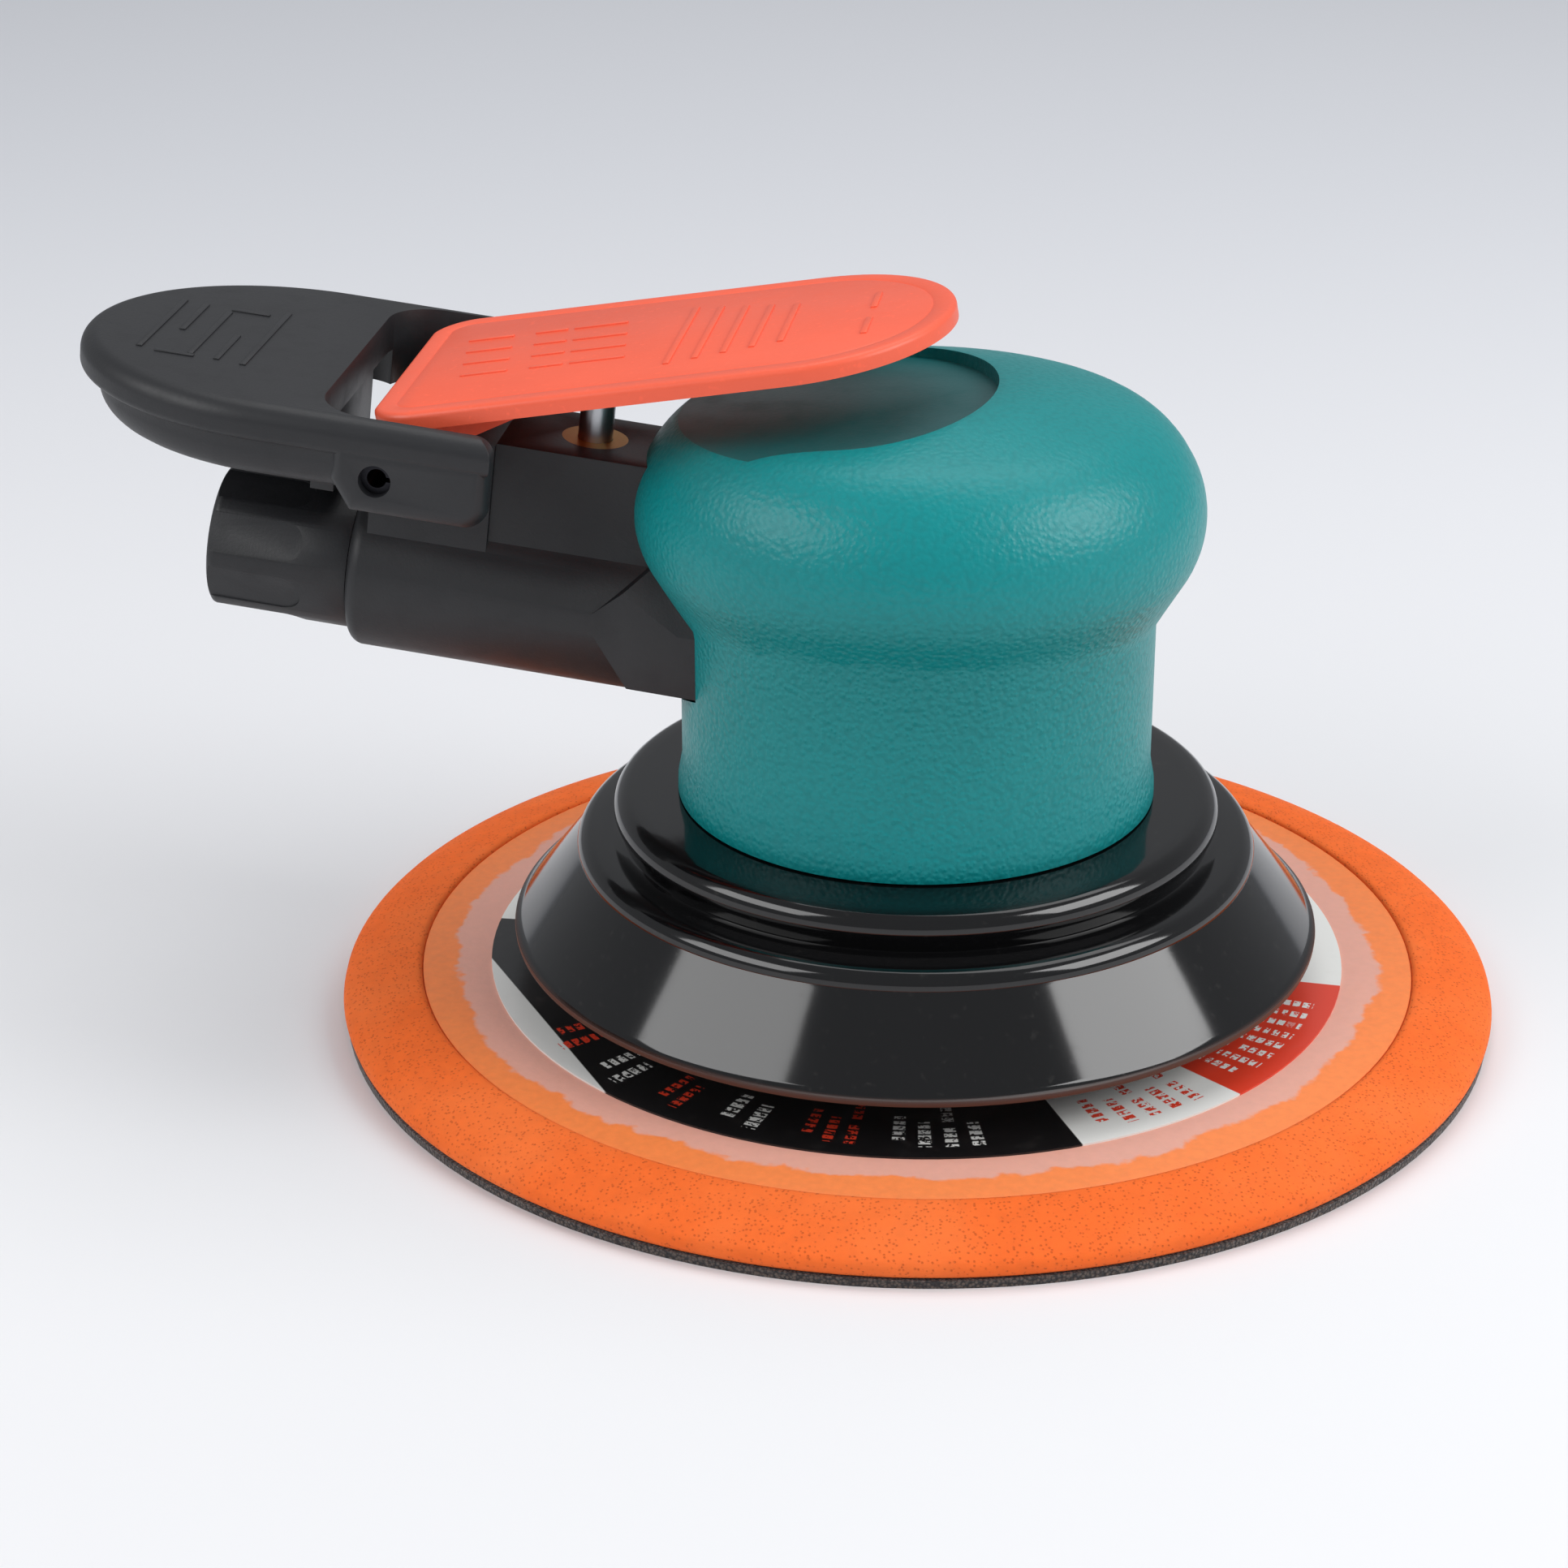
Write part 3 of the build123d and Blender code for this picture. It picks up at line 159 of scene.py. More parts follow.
class Graph:
    """One material's node tree."""

    def __init__(self, name: str) -> None:
        """Start an empty material whose patterns follow the object's own coordinates.

        Args:
            name: The material's name.
        """
        self.material = bpy.data.materials.new(name)
        self.material.use_nodes = True
        self.tree = self.material.node_tree
        self.tree.nodes.clear()
        self.place = self.node("ShaderNodeTexCoord", output="Object")

    def node(
        self,
        kind: str,
        settings: dict | None = None,
        inputs: dict | None = None,
        output: int | str = 0,
    ) -> Signal:
        """Add any node.

        Args:
            kind: The node's type.
            settings: Its properties.
            inputs: Values or signals by socket.
            output: The socket that is wanted.

        Returns:
            The wanted output.
        """
        made = self.tree.nodes.new(kind)
        for key, value in (settings or {}).items():
            setattr(made, key, value)
        for key, value in (inputs or {}).items():
            if isinstance(value, Signal):
                self.tree.links.new(value.socket, made.inputs[key])
            else:
                made.inputs[key].default_value = value
        return Signal(self, made.outputs[output])

    def noise(self, size: float, detail: float = 2.0) -> Signal:
        """Soft random patches.

        Args:
            size: The patches' rough size.
            detail: How much finer detail they have.

        Returns:
            The patches, 0 to 1.
        """
        inputs = {"Vector": self.place, "Scale": 1 / size, "Detail": detail}
        return self.node("ShaderNodeTexNoise", None, inputs)

    def cells(self, size: float, feature: str = "F1") -> Signal:
        """Distance to the nearest of many random points.

        Args:
            size: The rough distance between the points.
            feature: The Voronoi node's feature.

        Returns:
            The distance, about 0 to 1.
        """
        inputs = {"Vector": self.place, "Scale": 1 / size}
        return self.node("ShaderNodeTexVoronoi", {"feature": feature}, inputs)

    def mix(self, share: Signal | float, first: Signal | Colour, second: Signal | Colour) -> Signal:
        """Blend two colours.

        Args:
            share: How much of the second there is.
            first: The first colour.
            second: The second colour.

        Returns:
            The blend.
        """
        low, high = (end if isinstance(end, Signal) else (*end, 1.0) for end in (first, second))
        # the Mix node's sockets have one name for every data type, so its colour ones go by number
        inputs = {0: share, 6: low, 7: high}
        return self.node("ShaderNodeMix", {"data_type": "RGBA"}, inputs, output=2)

    def bump(self, height: Signal, depth: float) -> Signal:
        """Raise the surface.

        Args:
            height: The height, 0 to 1.
            depth: What a height of 1 stands for.

        Returns:
            The normal.
        """
        inputs = {"Height": height, "Distance": depth, "Strength": 1.0}
        return self.node("ShaderNodeBump", None, inputs)

    def axis(self, name: str) -> Signal:
        """One of the object's own coordinates, "X", "Y" or "Z"."""
        return self.node("ShaderNodeSeparateXYZ", None, {0: self.place}, output=name)

    def surface(self, **sockets: "Signal | Colour | float") -> bpy.types.Material:
        """Finish the material.

        Args:
            **sockets: The shader's sockets, with _ for a space.

        Returns:
            The material.
        """
        inputs = {}
        for key, value in sockets.items():
            plain_colour = key.endswith("Color") and isinstance(value, tuple)
            inputs[key.replace("_", " ")] = (*value, 1.0) if plain_colour else value
        shader = self.node("ShaderNodeBsdfPrincipled", None, inputs)
        output = self.tree.nodes.new("ShaderNodeOutputMaterial")
        self.tree.links.new(shader.socket, output.inputs["Surface"])
        return self.material


# ---- finishes --------------------------------------------------------------------------------------
def shade(colour: Colour, factor: float) -> Colour:
    """A lighter or darker version of a colour."""
    red, green, blue = colour
    return (red * factor, green * factor, blue * factor)


@dataclass(frozen=True)
class Moulding:
    """A moulded plastic or rubber with a fine grain, cloudy tone and light handling marks."""

    name: str
    colour: Colour
    roughness: float = 0.5
    grain: float = 0.35 * MM
    grain_depth: float = 0.02 * MM
    cloud: float = 14 * MM
    contrast: float = 0.16
    speckle: float = 0.12
    scuffing: float = 0.08
    coat: float = 0.0

    def make(self) -> bpy.types.Material:
        """Build the material."""
        graph = Graph(self.name)
        clouds = graph.noise(self.cloud, 3.0)
        specks = graph.noise(self.grain * 3, 1.0).rises(0.62, 0.8)
        darker = shade(self.colour, 1 - self.contrast)
        lighter = shade(self.colour, 1 + self.contrast)
        tone = graph.mix(clouds, darker, lighter)
        tone = graph.mix(specks * self.speckle, tone, shade(self.colour, 1.8))
        grain = graph.noise(self.grain, 2.0)
        scuffs = graph.noise(self.cloud / 3, 4.0).rises(0.45, 0.75)
        return graph.surface(
            Base_Color=tone,
            Roughness=self.roughness + scuffs * self.scuffing + grain * 0.06,
            Normal=graph.bump(grain, self.grain_depth),
            Coat_Weight=self.coat,
            Coat_Roughness=0.25,
            Specular_IOR_Level=0.5,
        )


@dataclass(frozen=True)
class Pebble:
    """Soft-touch rubber with a raised pebble grain that thins out towards the top and painted shade in its
    grooves.
    """

    name: str
    colour: Colour
    fade_from: float
    fade_to: float
    roughness: float = 0.32
    pebble: float = 0.62 * MM
    depth: float = 0.16 * MM
    fine_grain: float = 0.3 * MM
    cloud: float = 22 * MM
    least_strength: float = 0.4
    groove_tone: float = 0.22

    def make(self) -> bpy.types.Material:
        """Build the material."""
        graph = Graph(self.name)
        pebbles = graph.cells(self.pebble, "SMOOTH_F1")
        fine = graph.noise(self.fine_grain, 2.0)
        low_down = graph.axis("Z").rises(self.fade_to, self.fade_from)
        strength = low_down * (1 - self.least_strength) + self.least_strength
        clouds = graph.noise(self.cloud, 2.0)
        tone = graph.mix(clouds, shade(self.colour, 0.9), shade(self.colour, 1.12))
        # painted shade: the grooves between the pebbles are darkened as if shaded
        grooves = pebbles.rises(0.3, 0.75)
        tone = graph.mix(grooves * self.groove_tone, tone, shade(self.colour, 0.55))
        height = (1 - pebbles) * strength + fine * 0.15
        return graph.surface(
            Base_Color=tone,
            Roughness=self.roughness + pebbles * 0.12 + clouds * 0.05,
            Normal=graph.bump(height, self.depth),
            Specular_IOR_Level=0.38,
        )


@dataclass(frozen=True)
class Foam:
    """Closed-cell foam: matt, with small pores painted dark as shade and a mottled tone."""

    name: str
    colour: Colour
    faded: Colour = paint(255, 140, 75)
    roughness: float = 0.78
    pore: float = 0.55 * MM
    pore_depth: float = 0.09 * MM
    mottling: float = 2.2 * MM
    fading: float = 18 * MM

    def make(self) -> bpy.types.Material:
        """Build the material."""
        graph = Graph(self.name)
        pores = graph.cells(self.pore).rises(0.34, 0.1)
        mottle = graph.noise(self.mottling, 4.0)
        faded = graph.noise(self.fading, 2.0).rises(0.4, 0.7)
        tone = graph.mix(mottle, shade(self.colour, 0.84), shade(self.colour, 1.1))
        tone = graph.mix(faded * 0.25, tone, self.faded)
        # painted shade: the pores are darkened as if shaded inside
        tone = graph.mix(pores * 0.45, tone, shade(self.colour, 0.45))
        return graph.surface(
            Base_Color=tone,
            Roughness=self.roughness + mottle * 0.12,
            Normal=graph.bump((1 - pores) + mottle * 0.5, self.pore_depth),
            Subsurface_Weight=0.08,
            Subsurface_Radius=(0.004, 0.0015, 0.0006),
            Specular_IOR_Level=0.3,
        )


class Disc:
    """Polar coordinates about the pad's axis, for the materials of round flat parts."""

    def __init__(self, graph: Graph, centre: Vector) -> None:
        """Centre the coordinates.

        Args:
            graph: The material's graph.
            centre: A point on the axis.
        """
        self.x = graph.axis("X") - centre.x
        self.y = graph.axis("Y") - centre.y
        squares = self.x * self.x + self.y * self.y
        self.radius = squares.combine("SQRT", squares)
        self.degrees = self.y.combine("ARCTAN2", self.y, self.x) * math.degrees(1)


@dataclass(frozen=True)
class ClearPlate:
    """A milky sheet that the adhesive and the foam's colour show through near its edge."""

    name: str
    centre: Vector
    bleed_radius: float
    colour: Colour = paint(226, 164, 146)
    bleed: Colour = paint(247, 134, 66)
    roughness: float = 0.42
    lobe_size: float = 9 * MM
    lobe_reach: float = 7 * MM
    frill_size: float = 1.6 * MM
    frill_reach: float = 2 * MM
    mottling: float = 1.1 * MM
    relief: float = 0.03 * MM

    def make(self) -> bpy.types.Material:
        """Build the material."""
        graph = Graph(self.name)
        disc = Disc(graph, self.centre)
        lobes = (graph.noise(self.lobe_size, 4.0) - 0.5) * self.lobe_reach
        frills = (graph.noise(self.frill_size, 3.0) - 0.5) * self.frill_reach
        edge = disc.radius + lobes + frills
        glue = edge.rises(self.bleed_radius - 0.4 * MM, self.bleed_radius + 0.5 * MM)
        mottle = graph.noise(self.mottling, 4.0)
        milky = graph.mix(mottle, shade(self.colour, 0.93), shade(self.colour, 1.06))
        stained = graph.mix(mottle, shade(self.bleed, 0.86), shade(self.bleed, 1.12))
        texture = graph.noise(0.5 * MM, 3.0)
        return graph.surface(
            Base_Color=graph.mix(glue, milky, stained),
            Roughness=self.roughness + mottle * 0.12,
            Normal=graph.bump(texture + glue * 0.5, self.relief),
            Subsurface_Weight=0.15,
            Subsurface_Radius=(0.004, 0.002, 0.001),
            Coat_Weight=0.15,
            Coat_Roughness=0.3,
        )


@dataclass(frozen=True)
class Print:
    """A printed disc: white film with a black field, a red field and plain rows of marks."""

    name: str
    centre: Vector
    outer: float
    white: Colour = paint(238, 238, 234)
    black: Colour = paint(14, 13, 14)
    red: Colour = paint(228, 62, 36)
    worn: Colour = paint(150, 140, 135)
    roughness: float = 0.34
    black_field: tuple[float, float] = (-186.0, -63.2)
    red_field: tuple[float, float] = (-39.0, -5.0)
    chord_side: tuple[float, float] = (0.84, 0.54)
    chord_reach: float = 52.6 * MM
    sharpness: float = 0.1
    letter_pitch: float = 1.25 * MM
    letter_detail: float = 0.42 * MM
    row_length: float = 10.5 * MM
    row_unevenness: float = 3 * MM
    margin: float = 2.5 * MM

    def band(self, degrees: Signal, start: float, end: float) -> Signal:
        """1 between two angles, in degrees."""
        soft = self.sharpness
        return degrees.rises(start - soft, start + soft) * degrees.rises(end + soft, end - soft)

    def rows(self, disc: Disc, graph: Graph, first: float, last: float, spacing: float) -> Signal:
        """Rows of short marks that run in towards the axis, like lines of small print.

        Args:
            disc: The polar coordinates.
            graph: The material's graph.
            first: The first row's angle, in degrees.
            last: The last row's angle.
            spacing: The angle between rows.

        Returns:
            1 on a mark.
        """
        position = (disc.degrees - first) * (1 / spacing)
        row = position.combine("FLOOR", position)
        line = abs(position.combine("FRACT", position) - 0.5).rises(0.27, 0.22)
        # each row starts at its own place, and each letter draws its own chance and width
        along = disc.radius * (1 / self.letter_pitch) + row * 7.31
        seed = along.combine("FLOOR", along) * 12.9898 + row * 78.233
        chance = seed.combine("FRACT", seed.combine("SINE", seed) * 437.585)
        from_middle = abs(along.combine("FRACT", along) - 0.5)
        stroke = (from_middle + chance * 0.18).rises(0.46, 0.4)
        glyph = graph.noise(self.letter_detail, 1.0).rises(0.4, 0.45)
        written = chance.rises(0.12, 0.16)
        start = row.combine("SINE", row * 2.4) * self.row_unevenness + (self.outer - self.row_length)
        begun = (disc.radius - start).rises(-0.05 * MM, 0.05 * MM)
        end = self.outer - self.margin
        inside = disc.radius.rises(end + 0.1 * MM, end - 0.1 * MM)
        return line * stroke * glyph * written * begun * inside * self.band(disc.degrees, first, last)

    def make(self) -> bpy.types.Material:
        """Build the material."""
        graph = Graph(self.name)
        disc = Disc(graph, self.centre)
        # a chord cuts the black field off on the handle's side
        chord = disc.x * self.chord_side[0] + disc.y * self.chord_side[1] + self.chord_reach
        black = self.band(disc.degrees, *self.black_field) * chord.rises(-0.1 * MM, 0.1 * MM)
        tone = graph.mix(black, self.white, self.black)
        tone = graph.mix(self.band(disc.degrees, *self.red_field), tone, self.red)
        for first, last, spacing, ink in (
            (-146, -138, 4.0, self.red),
            (-134, -126, 4.0, self.white),
            (-122, -116, 3.0, self.red),
            (-112, -104, 4.0, self.white),
            (-100, -91, 3.0, self.red),
            (-88, -74, 3.5, self.white),
            (-60, -42, 3.6, self.red),
            (-36, -10, 3.2, self.white),
        ):
            tone = graph.mix(self.rows(disc, graph, first, last, spacing), tone, ink)
        wear = graph.noise(3 * MM, 4.0)
        return graph.surface(
            Base_Color=graph.mix(wear.rises(0.55, 0.9) * 0.1, tone, self.worn),
            Roughness=self.roughness + wear * 0.14,
            Normal=graph.bump(wear, 0.01 * MM),
            Coat_Weight=0.2,
            Coat_Roughness=0.2,
        )


@dataclass(frozen=True)
class Metal:
    """Machined metal with fine tool marks and a slightly uneven polish."""

    name: str
    colour: Colour
    roughness: float = 0.28
    marks: float = 0.25 * MM
    mark_depth: float = 0.012 * MM
    patch: float = 5 * MM

    def make(self) -> bpy.types.Material:
        """Build the material."""
        graph = Graph(self.name)
        marks = graph.noise(self.marks, 3.0)
        patches = graph.noise(self.patch, 3.0)
        tone = graph.mix(patches, shade(self.colour, 0.82), shade(self.colour, 1.06))
        return graph.surface(
            Base_Color=tone,
            Metallic=1.0,
            Roughness=self.roughness + marks * 0.12 + patches * 0.08,
            Normal=graph.bump(marks, self.mark_depth),
        )


@dataclass(frozen=True)
class Gloss:
    """Polished black rubber with a dull brown foot line and a trace of dust."""

    name: str
    colour: Colour
    foot: float
    foot_colour: Colour = paint(74, 44, 34)
    dust_colour: Colour = paint(150, 146, 140)
    roughness: float = 0.07
    foot_blur: float = 0.15 * MM
    dust_size: float = 1.2 * MM
    smear_size: float = 16 * MM
    smear_depth: float = 0.02 * MM

    def make(self) -> bpy.types.Material:
        """Build the material."""
        graph = Graph(self.name)
        dust = graph.noise(self.dust_size, 4.0).rises(0.6, 0.85)
        smear = graph.noise(self.smear_size, 3.0)
        foot = graph.axis("Z").rises(self.foot + self.foot_blur, self.foot - self.foot_blur)
        tone = graph.mix(dust * 0.05, self.colour, self.dust_colour)
        return graph.surface(
            Base_Color=graph.mix(foot * 0.7, tone, self.foot_colour),
            Roughness=self.roughness + smear * 0.05 + dust * 0.06 + foot * 0.3,
            Normal=graph.bump(smear, self.smear_depth),
            Specular_IOR_Level=0.6,
        )


@dataclass(frozen=True)
class Fibre:
    """Felt or the hooked face: a mat of fine fibres."""

    name: str
    colour: Colour
    light: Colour
    size: float = 0.4 * MM
    pile: float = 0.18 * MM
    roughness: float = 0.85

    def make(self) -> bpy.types.Material:
        """Build the material."""
        graph = Graph(self.name)
        tufts = graph.cells(self.size)
        fuzz = graph.noise(self.size / 2, 4.0)
        tone = graph.mix(tufts.rises(0.2, 0.7), self.light, self.colour)
        return graph.surface(
            Base_Color=graph.mix(fuzz * 0.4, tone, shade(self.colour, 0.5)),
            Roughness=self.roughness + fuzz * 0.1,
            Normal=graph.bump((1 - tufts) + fuzz * 0.5, self.pile),
            Sheen_Weight=0.3,
        )


# ---- modelling by hand -------------------------------------------------------------------------------
class Handwork:
    """Modelling steps that several sub-assemblies share."""

    weld: float = 0.002 * MM
    ring_weld: float = 0.005 * MM
    flat_degrees: float = 0.6
    same_facing: float = 0.9995

    @staticmethod
    def only(piece: bpy.types.Object) -> None:
        """Select one object and nothing else.

        Args:
            piece: The object.
        """
        bpy.ops.object.select_all(action="DESELECT")
        piece.select_set(True)
        bpy.context.view_layer.objects.active = piece

    @staticmethod
    def finish(piece: bpy.types.Object, angle: float = 32.0) -> bpy.types.Object:
        """Shade a piece smoothly and leave its place in its mesh.

        Args:
            piece: The piece.
            angle: Edges sharper than this stay crisp, in degrees.

        Returns:
            The same piece.
        """
        Handwork.only(piece)
        bpy.ops.object.transform_apply(location=True, rotation=True, scale=True)
        bpy.ops.object.shade_smooth_by_angle(angle=math.radians(angle))
        return piece

    @staticmethod
    def from_node(node: str, name: str) -> bpy.types.Object:
        """Start a piece from a CAD node: a merged copy with its flat faces whole.

        Args:
            node: The node.
            name: The new piece's name.

        Returns:
            The piece.
        """
        source = frame["nodes"][node]
        piece = bpy.data.objects.new(name, source.data.copy())
        bpy.context.scene.collection.objects.link(piece)
        Handwork.only(piece)
        bpy.ops.object.mode_set(mode="EDIT")
        bpy.ops.mesh.select_all(action="SELECT")
        bpy.ops.mesh.customdata_custom_splitnormals_clear()
        bpy.ops.mesh.remove_doubles(threshold=Handwork.weld)
        flat = math.radians(Handwork.flat_degrees)
        bpy.ops.mesh.dissolve_limited(angle_limit=flat, use_dissolve_boundaries=False)
        bpy.ops.object.mode_set(mode="OBJECT")
        return piece

    @staticmethod
    def ease(piece: bpy.types.Object, width: float, segments: int = 3, angle: float = 38.0) -> None:
        """Round a piece's sharp edges.

        Args:
            piece: The piece.
            width: How wide the rounding is.
            segments: Its steps.
            angle: Only edges sharper than this are rounded, in degrees.
        """
        Handwork.only(piece)
        bevel = piece.modifiers.new("ease", "BEVEL")
        bevel.width = width
        bevel.segments = segments
        bevel.limit_method = "ANGLE"
        bevel.angle_limit = math.radians(angle)
        bevel.use_clamp_overlap = True
        bevel.miter_outer = "MITER_ARC"
        bpy.ops.object.modifier_apply(modifier="ease")

    @staticmethod
    def turned(
        name: str,
        centre: Vector,
        outline: list[tuple[float, float]],
        steps: int = 192,
    ) -> bpy.types.Object:
        """A closed ring, drawn out of a circle one step of its outline at a time.

        Args:
            name: The piece's name.
            centre: A point on its axis.
            outline: Radius and height of each step.
            steps: The circle's corners.

        Returns:
            The piece.
        """
        bpy.ops.object.select_all(action="DESELECT")
        radius, height = outline[0]
        spot = Vector((centre.x, centre.y, height))
        bpy.ops.mesh.primitive_circle_add(
            vertices=steps,
            radius=radius,
            fill_type="NOTHING",
            location=spot,
        )
        piece = bpy.context.object
        piece.name = name
        bpy.ops.object.mode_set(mode="EDIT")
        bpy.ops.mesh.select_all(action="SELECT")
        for next_radius, next_height in [*outline[1:], outline[0]]:
            bpy.ops.mesh.extrude_edges_move()
            grow = next_radius / radius
            bpy.ops.transform.resize(value=(grow, grow, 1), center_override=spot)
            bpy.ops.transform.translate(value=(0, 0, next_height - height))
            radius, height = next_radius, next_height
        bpy.ops.mesh.select_all(action="SELECT")
        bpy.ops.mesh.remove_doubles(threshold=Handwork.ring_weld)
        bpy.ops.mesh.normals_make_consistent(inside=False)
        bpy.ops.object.mode_set(mode="OBJECT")
        return piece

    @staticmethod
    def pick_faces(piece: bpy.types.Object, facing: Vector, least_area: float) -> int:
        """Select large faces that point one way, ready for edit mode.

        Args:
            piece: The piece.
            facing: The direction.
            least_area: Faces smaller than this are left out.

        Returns:
            How many faces were selected.
        """
        mesh = piece.data
        for group in (mesh.vertices, mesh.edges, mesh.polygons):
            group.foreach_set("select", [False] * len(group))
        large = [face for face in mesh.polygons if face.area > least_area]
        chosen = [face for face in large if face.normal.dot(facing) > Handwork.same_facing]
        for face in chosen:
            face.select = True
        return len(chosen)


class Paints(Enum):
    """The colours of the tool's own mouldings, and a darker teal that paints shade into the dish."""

    TEAL = paint(0, 136, 138)
    # painted shade: the dish's teal is darkened for the shade under the lever
    DISH_TEAL = paint(0, 98, 100)
    LEVER = paint(246, 98, 66)
    COMPOSITE = paint(28, 29, 32)
    RUBBER = paint(9, 9, 10)
    FOAM = paint(249, 110, 40)


def dress(piece: bpy.types.Object, material: bpy.types.Material) -> None:
    """Give a piece, or a CAD node, one material all over.

    Args:
        piece: The piece.
        material: Its material.
    """
    if not piece.data.materials:
        piece.data.materials.append(material)
    for slot in piece.material_slots:
        slot.material = material


def place_piece(piece: bpy.types.Object, body: str, slot: str, *nodes: str) -> None:
    """Parent a piece to the empty of the body it rides on and hide the CAD nodes that it replaces.

    Args:
        piece: The piece.
        body: The CAD body that it moves with.
        slot: The record's material slot; not used.
        *nodes: The CAD nodes that it replaces.
    """
    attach(piece, body)
    if nodes:
        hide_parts(*nodes)


@dataclass
class Pad:
    """The pad: foam, backing plate, printed disc and hooked face."""

    edge_round: float = 0.9 * MM
    lap: float = 0.05 * MM
    plate_ease: float = 0.25 * MM
    bleed_width: float = 4.6 * MM
    foam_fill: float = 0.95

    def build(self) -> None:
        """Model the foam and dress the flat parts."""
        low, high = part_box("pad_foam")
        plate_low, plate_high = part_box("pad_backing_plate")
        centre = (low + high) / 2
        outer = (high.x - low.x) / 2
        rim = (plate_high.x - plate_low.x) / 2
        stud_low, stud_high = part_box("pad_stud")
        hub = (stud_high.x - stud_low.x) / 2 + self.lap
        bottom, ridge, bed = low.z + self.lap, high.z, plate_low.z - self.lap
        side = self.edge_round
        outline = [
            (hub, bottom),
            (outer - 2.2 * side, bottom),
            (outer - 0.9 * side, bottom + 0.15 * side),
            (outer - 0.25 * side, bottom + 0.8 * side),
            (outer, bottom + 1.7 * side),
            (outer - 0.2 * side, bottom + 2.5 * side),
            (outer - 0.8 * side, bottom + 3.1 * side),
            (outer - 0.28 * (outer - rim), ridge - 1.35 * MM),
            (outer - 0.55 * (outer - rim), ridge - 0.62 * MM),
            (rim + 1.6 * MM, ridge - 0.12 * MM),
            (rim + 0.8 * MM, ridge),
            (rim + 0.25 * MM, ridge - 0.12 * MM),
            (rim + self.lap, ridge - 0.45 * MM),
            (rim + self.lap, bed),
            (hub, bed),
        ]
        foam = Handwork.finish(Handwork.turned("foam_ring", centre, outline), 50.0)
        dress(foam, Foam("orange_foam", Paints.FOAM.value).make())
        place_piece(foam, "pad", "orange_foam", "pad_foam")
        plate = Handwork.from_node("pad_backing_plate", "backing_sheet")
        Handwork.ease(plate, self.plate_ease, 2)
        Handwork.finish(plate)
        dress(plate, ClearPlate("milky_sheet", centre, rim - self.bleed_width).make())
        place_piece(plate, "pad", "backing_plate", "pad_backing_plate")
        label_low, label_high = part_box("pad_label")
        label_radius = (label_high.x - label_low.x) / 2
        dress(frame["nodes"]["pad_label"], Print("printed_disc", centre, label_radius).make())
        hooks = Fibre("hook_fabric", paint(38, 36, 38), paint(104, 92, 84))
        dress(frame["nodes"]["hook_face"], hooks.make())
        log.info("pad: foam ring, backing sheet, printed disc, hooked face")


@dataclass
class Shroud:
    """The glossy rubber skirt between the grip and the pad."""

    wall: float = 1.7 * MM
    collar: float = 28.15 * MM
    bore: float = 26.05 * MM
    seat_drop: float = 6.4 * MM
    floor_depth: float = 2.0 * MM
    bead: float = 2.2 * MM
    bead_share: float = 0.705
    bead_drop: float = 2.3 * MM
    shoulder: float = 44.1 * MM
    shoulder_round: float = 2.2 * MM
    step_drop: float = 6.3 * MM
    dull_foot: float = 0.9 * MM

    @staticmethod
    def arc(
        centre: tuple[float, float],
        size: float,
        start: float,
        end: float,
        steps: int,
    ) -> list[tuple[float, float]]:
        """Points along an arc.

        Args:
            centre: Its centre, as radius and height.
            size: Its radius.
            start: Its first direction, in degrees.
            end: Its last direction.
            steps: How many points it has.

        Returns:
            The points.
        """
        across, up = centre
        turns = [math.radians(start + (end - start) * index / (steps - 1)) for index in range(steps)]
        return [(across + size * math.cos(turn), up + size * math.sin(turn)) for turn in turns]

    def build(self) -> None:
        """Turn the skirt and polish it."""
        low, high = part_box("shroud")
        rim, foot, top = (high.x - low.x) / 2, low.z, high.z
        seat = top - self.seat_drop
        step = seat - self.step_drop
        floor = seat - self.floor_depth
        bead, bead_height = self.bead_share * rim, seat - self.bead_drop
        rounding = (self.shoulder - self.shoulder_round, step - 1.3 * MM)
        outline = [
            # the collar round the grip and the seat outside it
            (self.bore, top),
            (self.collar, top),
            (self.collar, seat),
            # the bead, and the step down to the shoulder
            (bead - 1.4 * MM, seat - 0.1 * MM),
            *self.arc((bead, bead_height), self.bead, 88, -38, 9),
            (bead + 1.25 * MM, step + 1.1 * MM),
            (bead + 1.6 * MM, step + 0.9 * MM),
            (bead + 2.6 * MM, step + 0.85 * MM),
            # the shoulder and the skirt's slope
            *self.arc(rounding, self.shoulder_round, 80, 15, 6),
            (self.shoulder - 0.12 * MM, step - 1.35 * MM),
            (self.shoulder + 0.1 * MM, step - 1.65 * MM),
            # the rolled foot
            (rim - 1.0 * MM, foot + 1.5 * MM),
            (rim - 0.7 * MM, foot + 1.05 * MM),
            (rim - 0.05 * MM, foot + 0.8 * MM),
            (rim, foot + 0.55 * MM),
            (rim - 0.05 * MM, foot + 0.1 * MM),
            (rim - 0.3 * MM, foot),
            (rim - 1.6 * MM, foot),
            # back up the inside
            (rim - self.wall - 0.2 * MM, foot + 0.3 * MM),
            (self.shoulder - self.wall, step - 1.4 * MM),
            (bead + 0.8 * MM, step - 0.9 * MM),
            (bead - 2.2 * MM, step + 0.1 * MM),
            (bead - 2.2 * MM, floor),
            (self.bore, floor),
        ]
        skirt = Handwork.finish(Handwork.turned("shroud_skirt", Vector((0, 0, 0)), outline), 38.0)
        dress(skirt, Gloss("gloss_rubber", Paints.RUBBER.value, foot + self.dull_foot).make())
        place_piece(skirt, "housing", "shroud_rubber", "shroud")
        log.info("shroud: skirt")


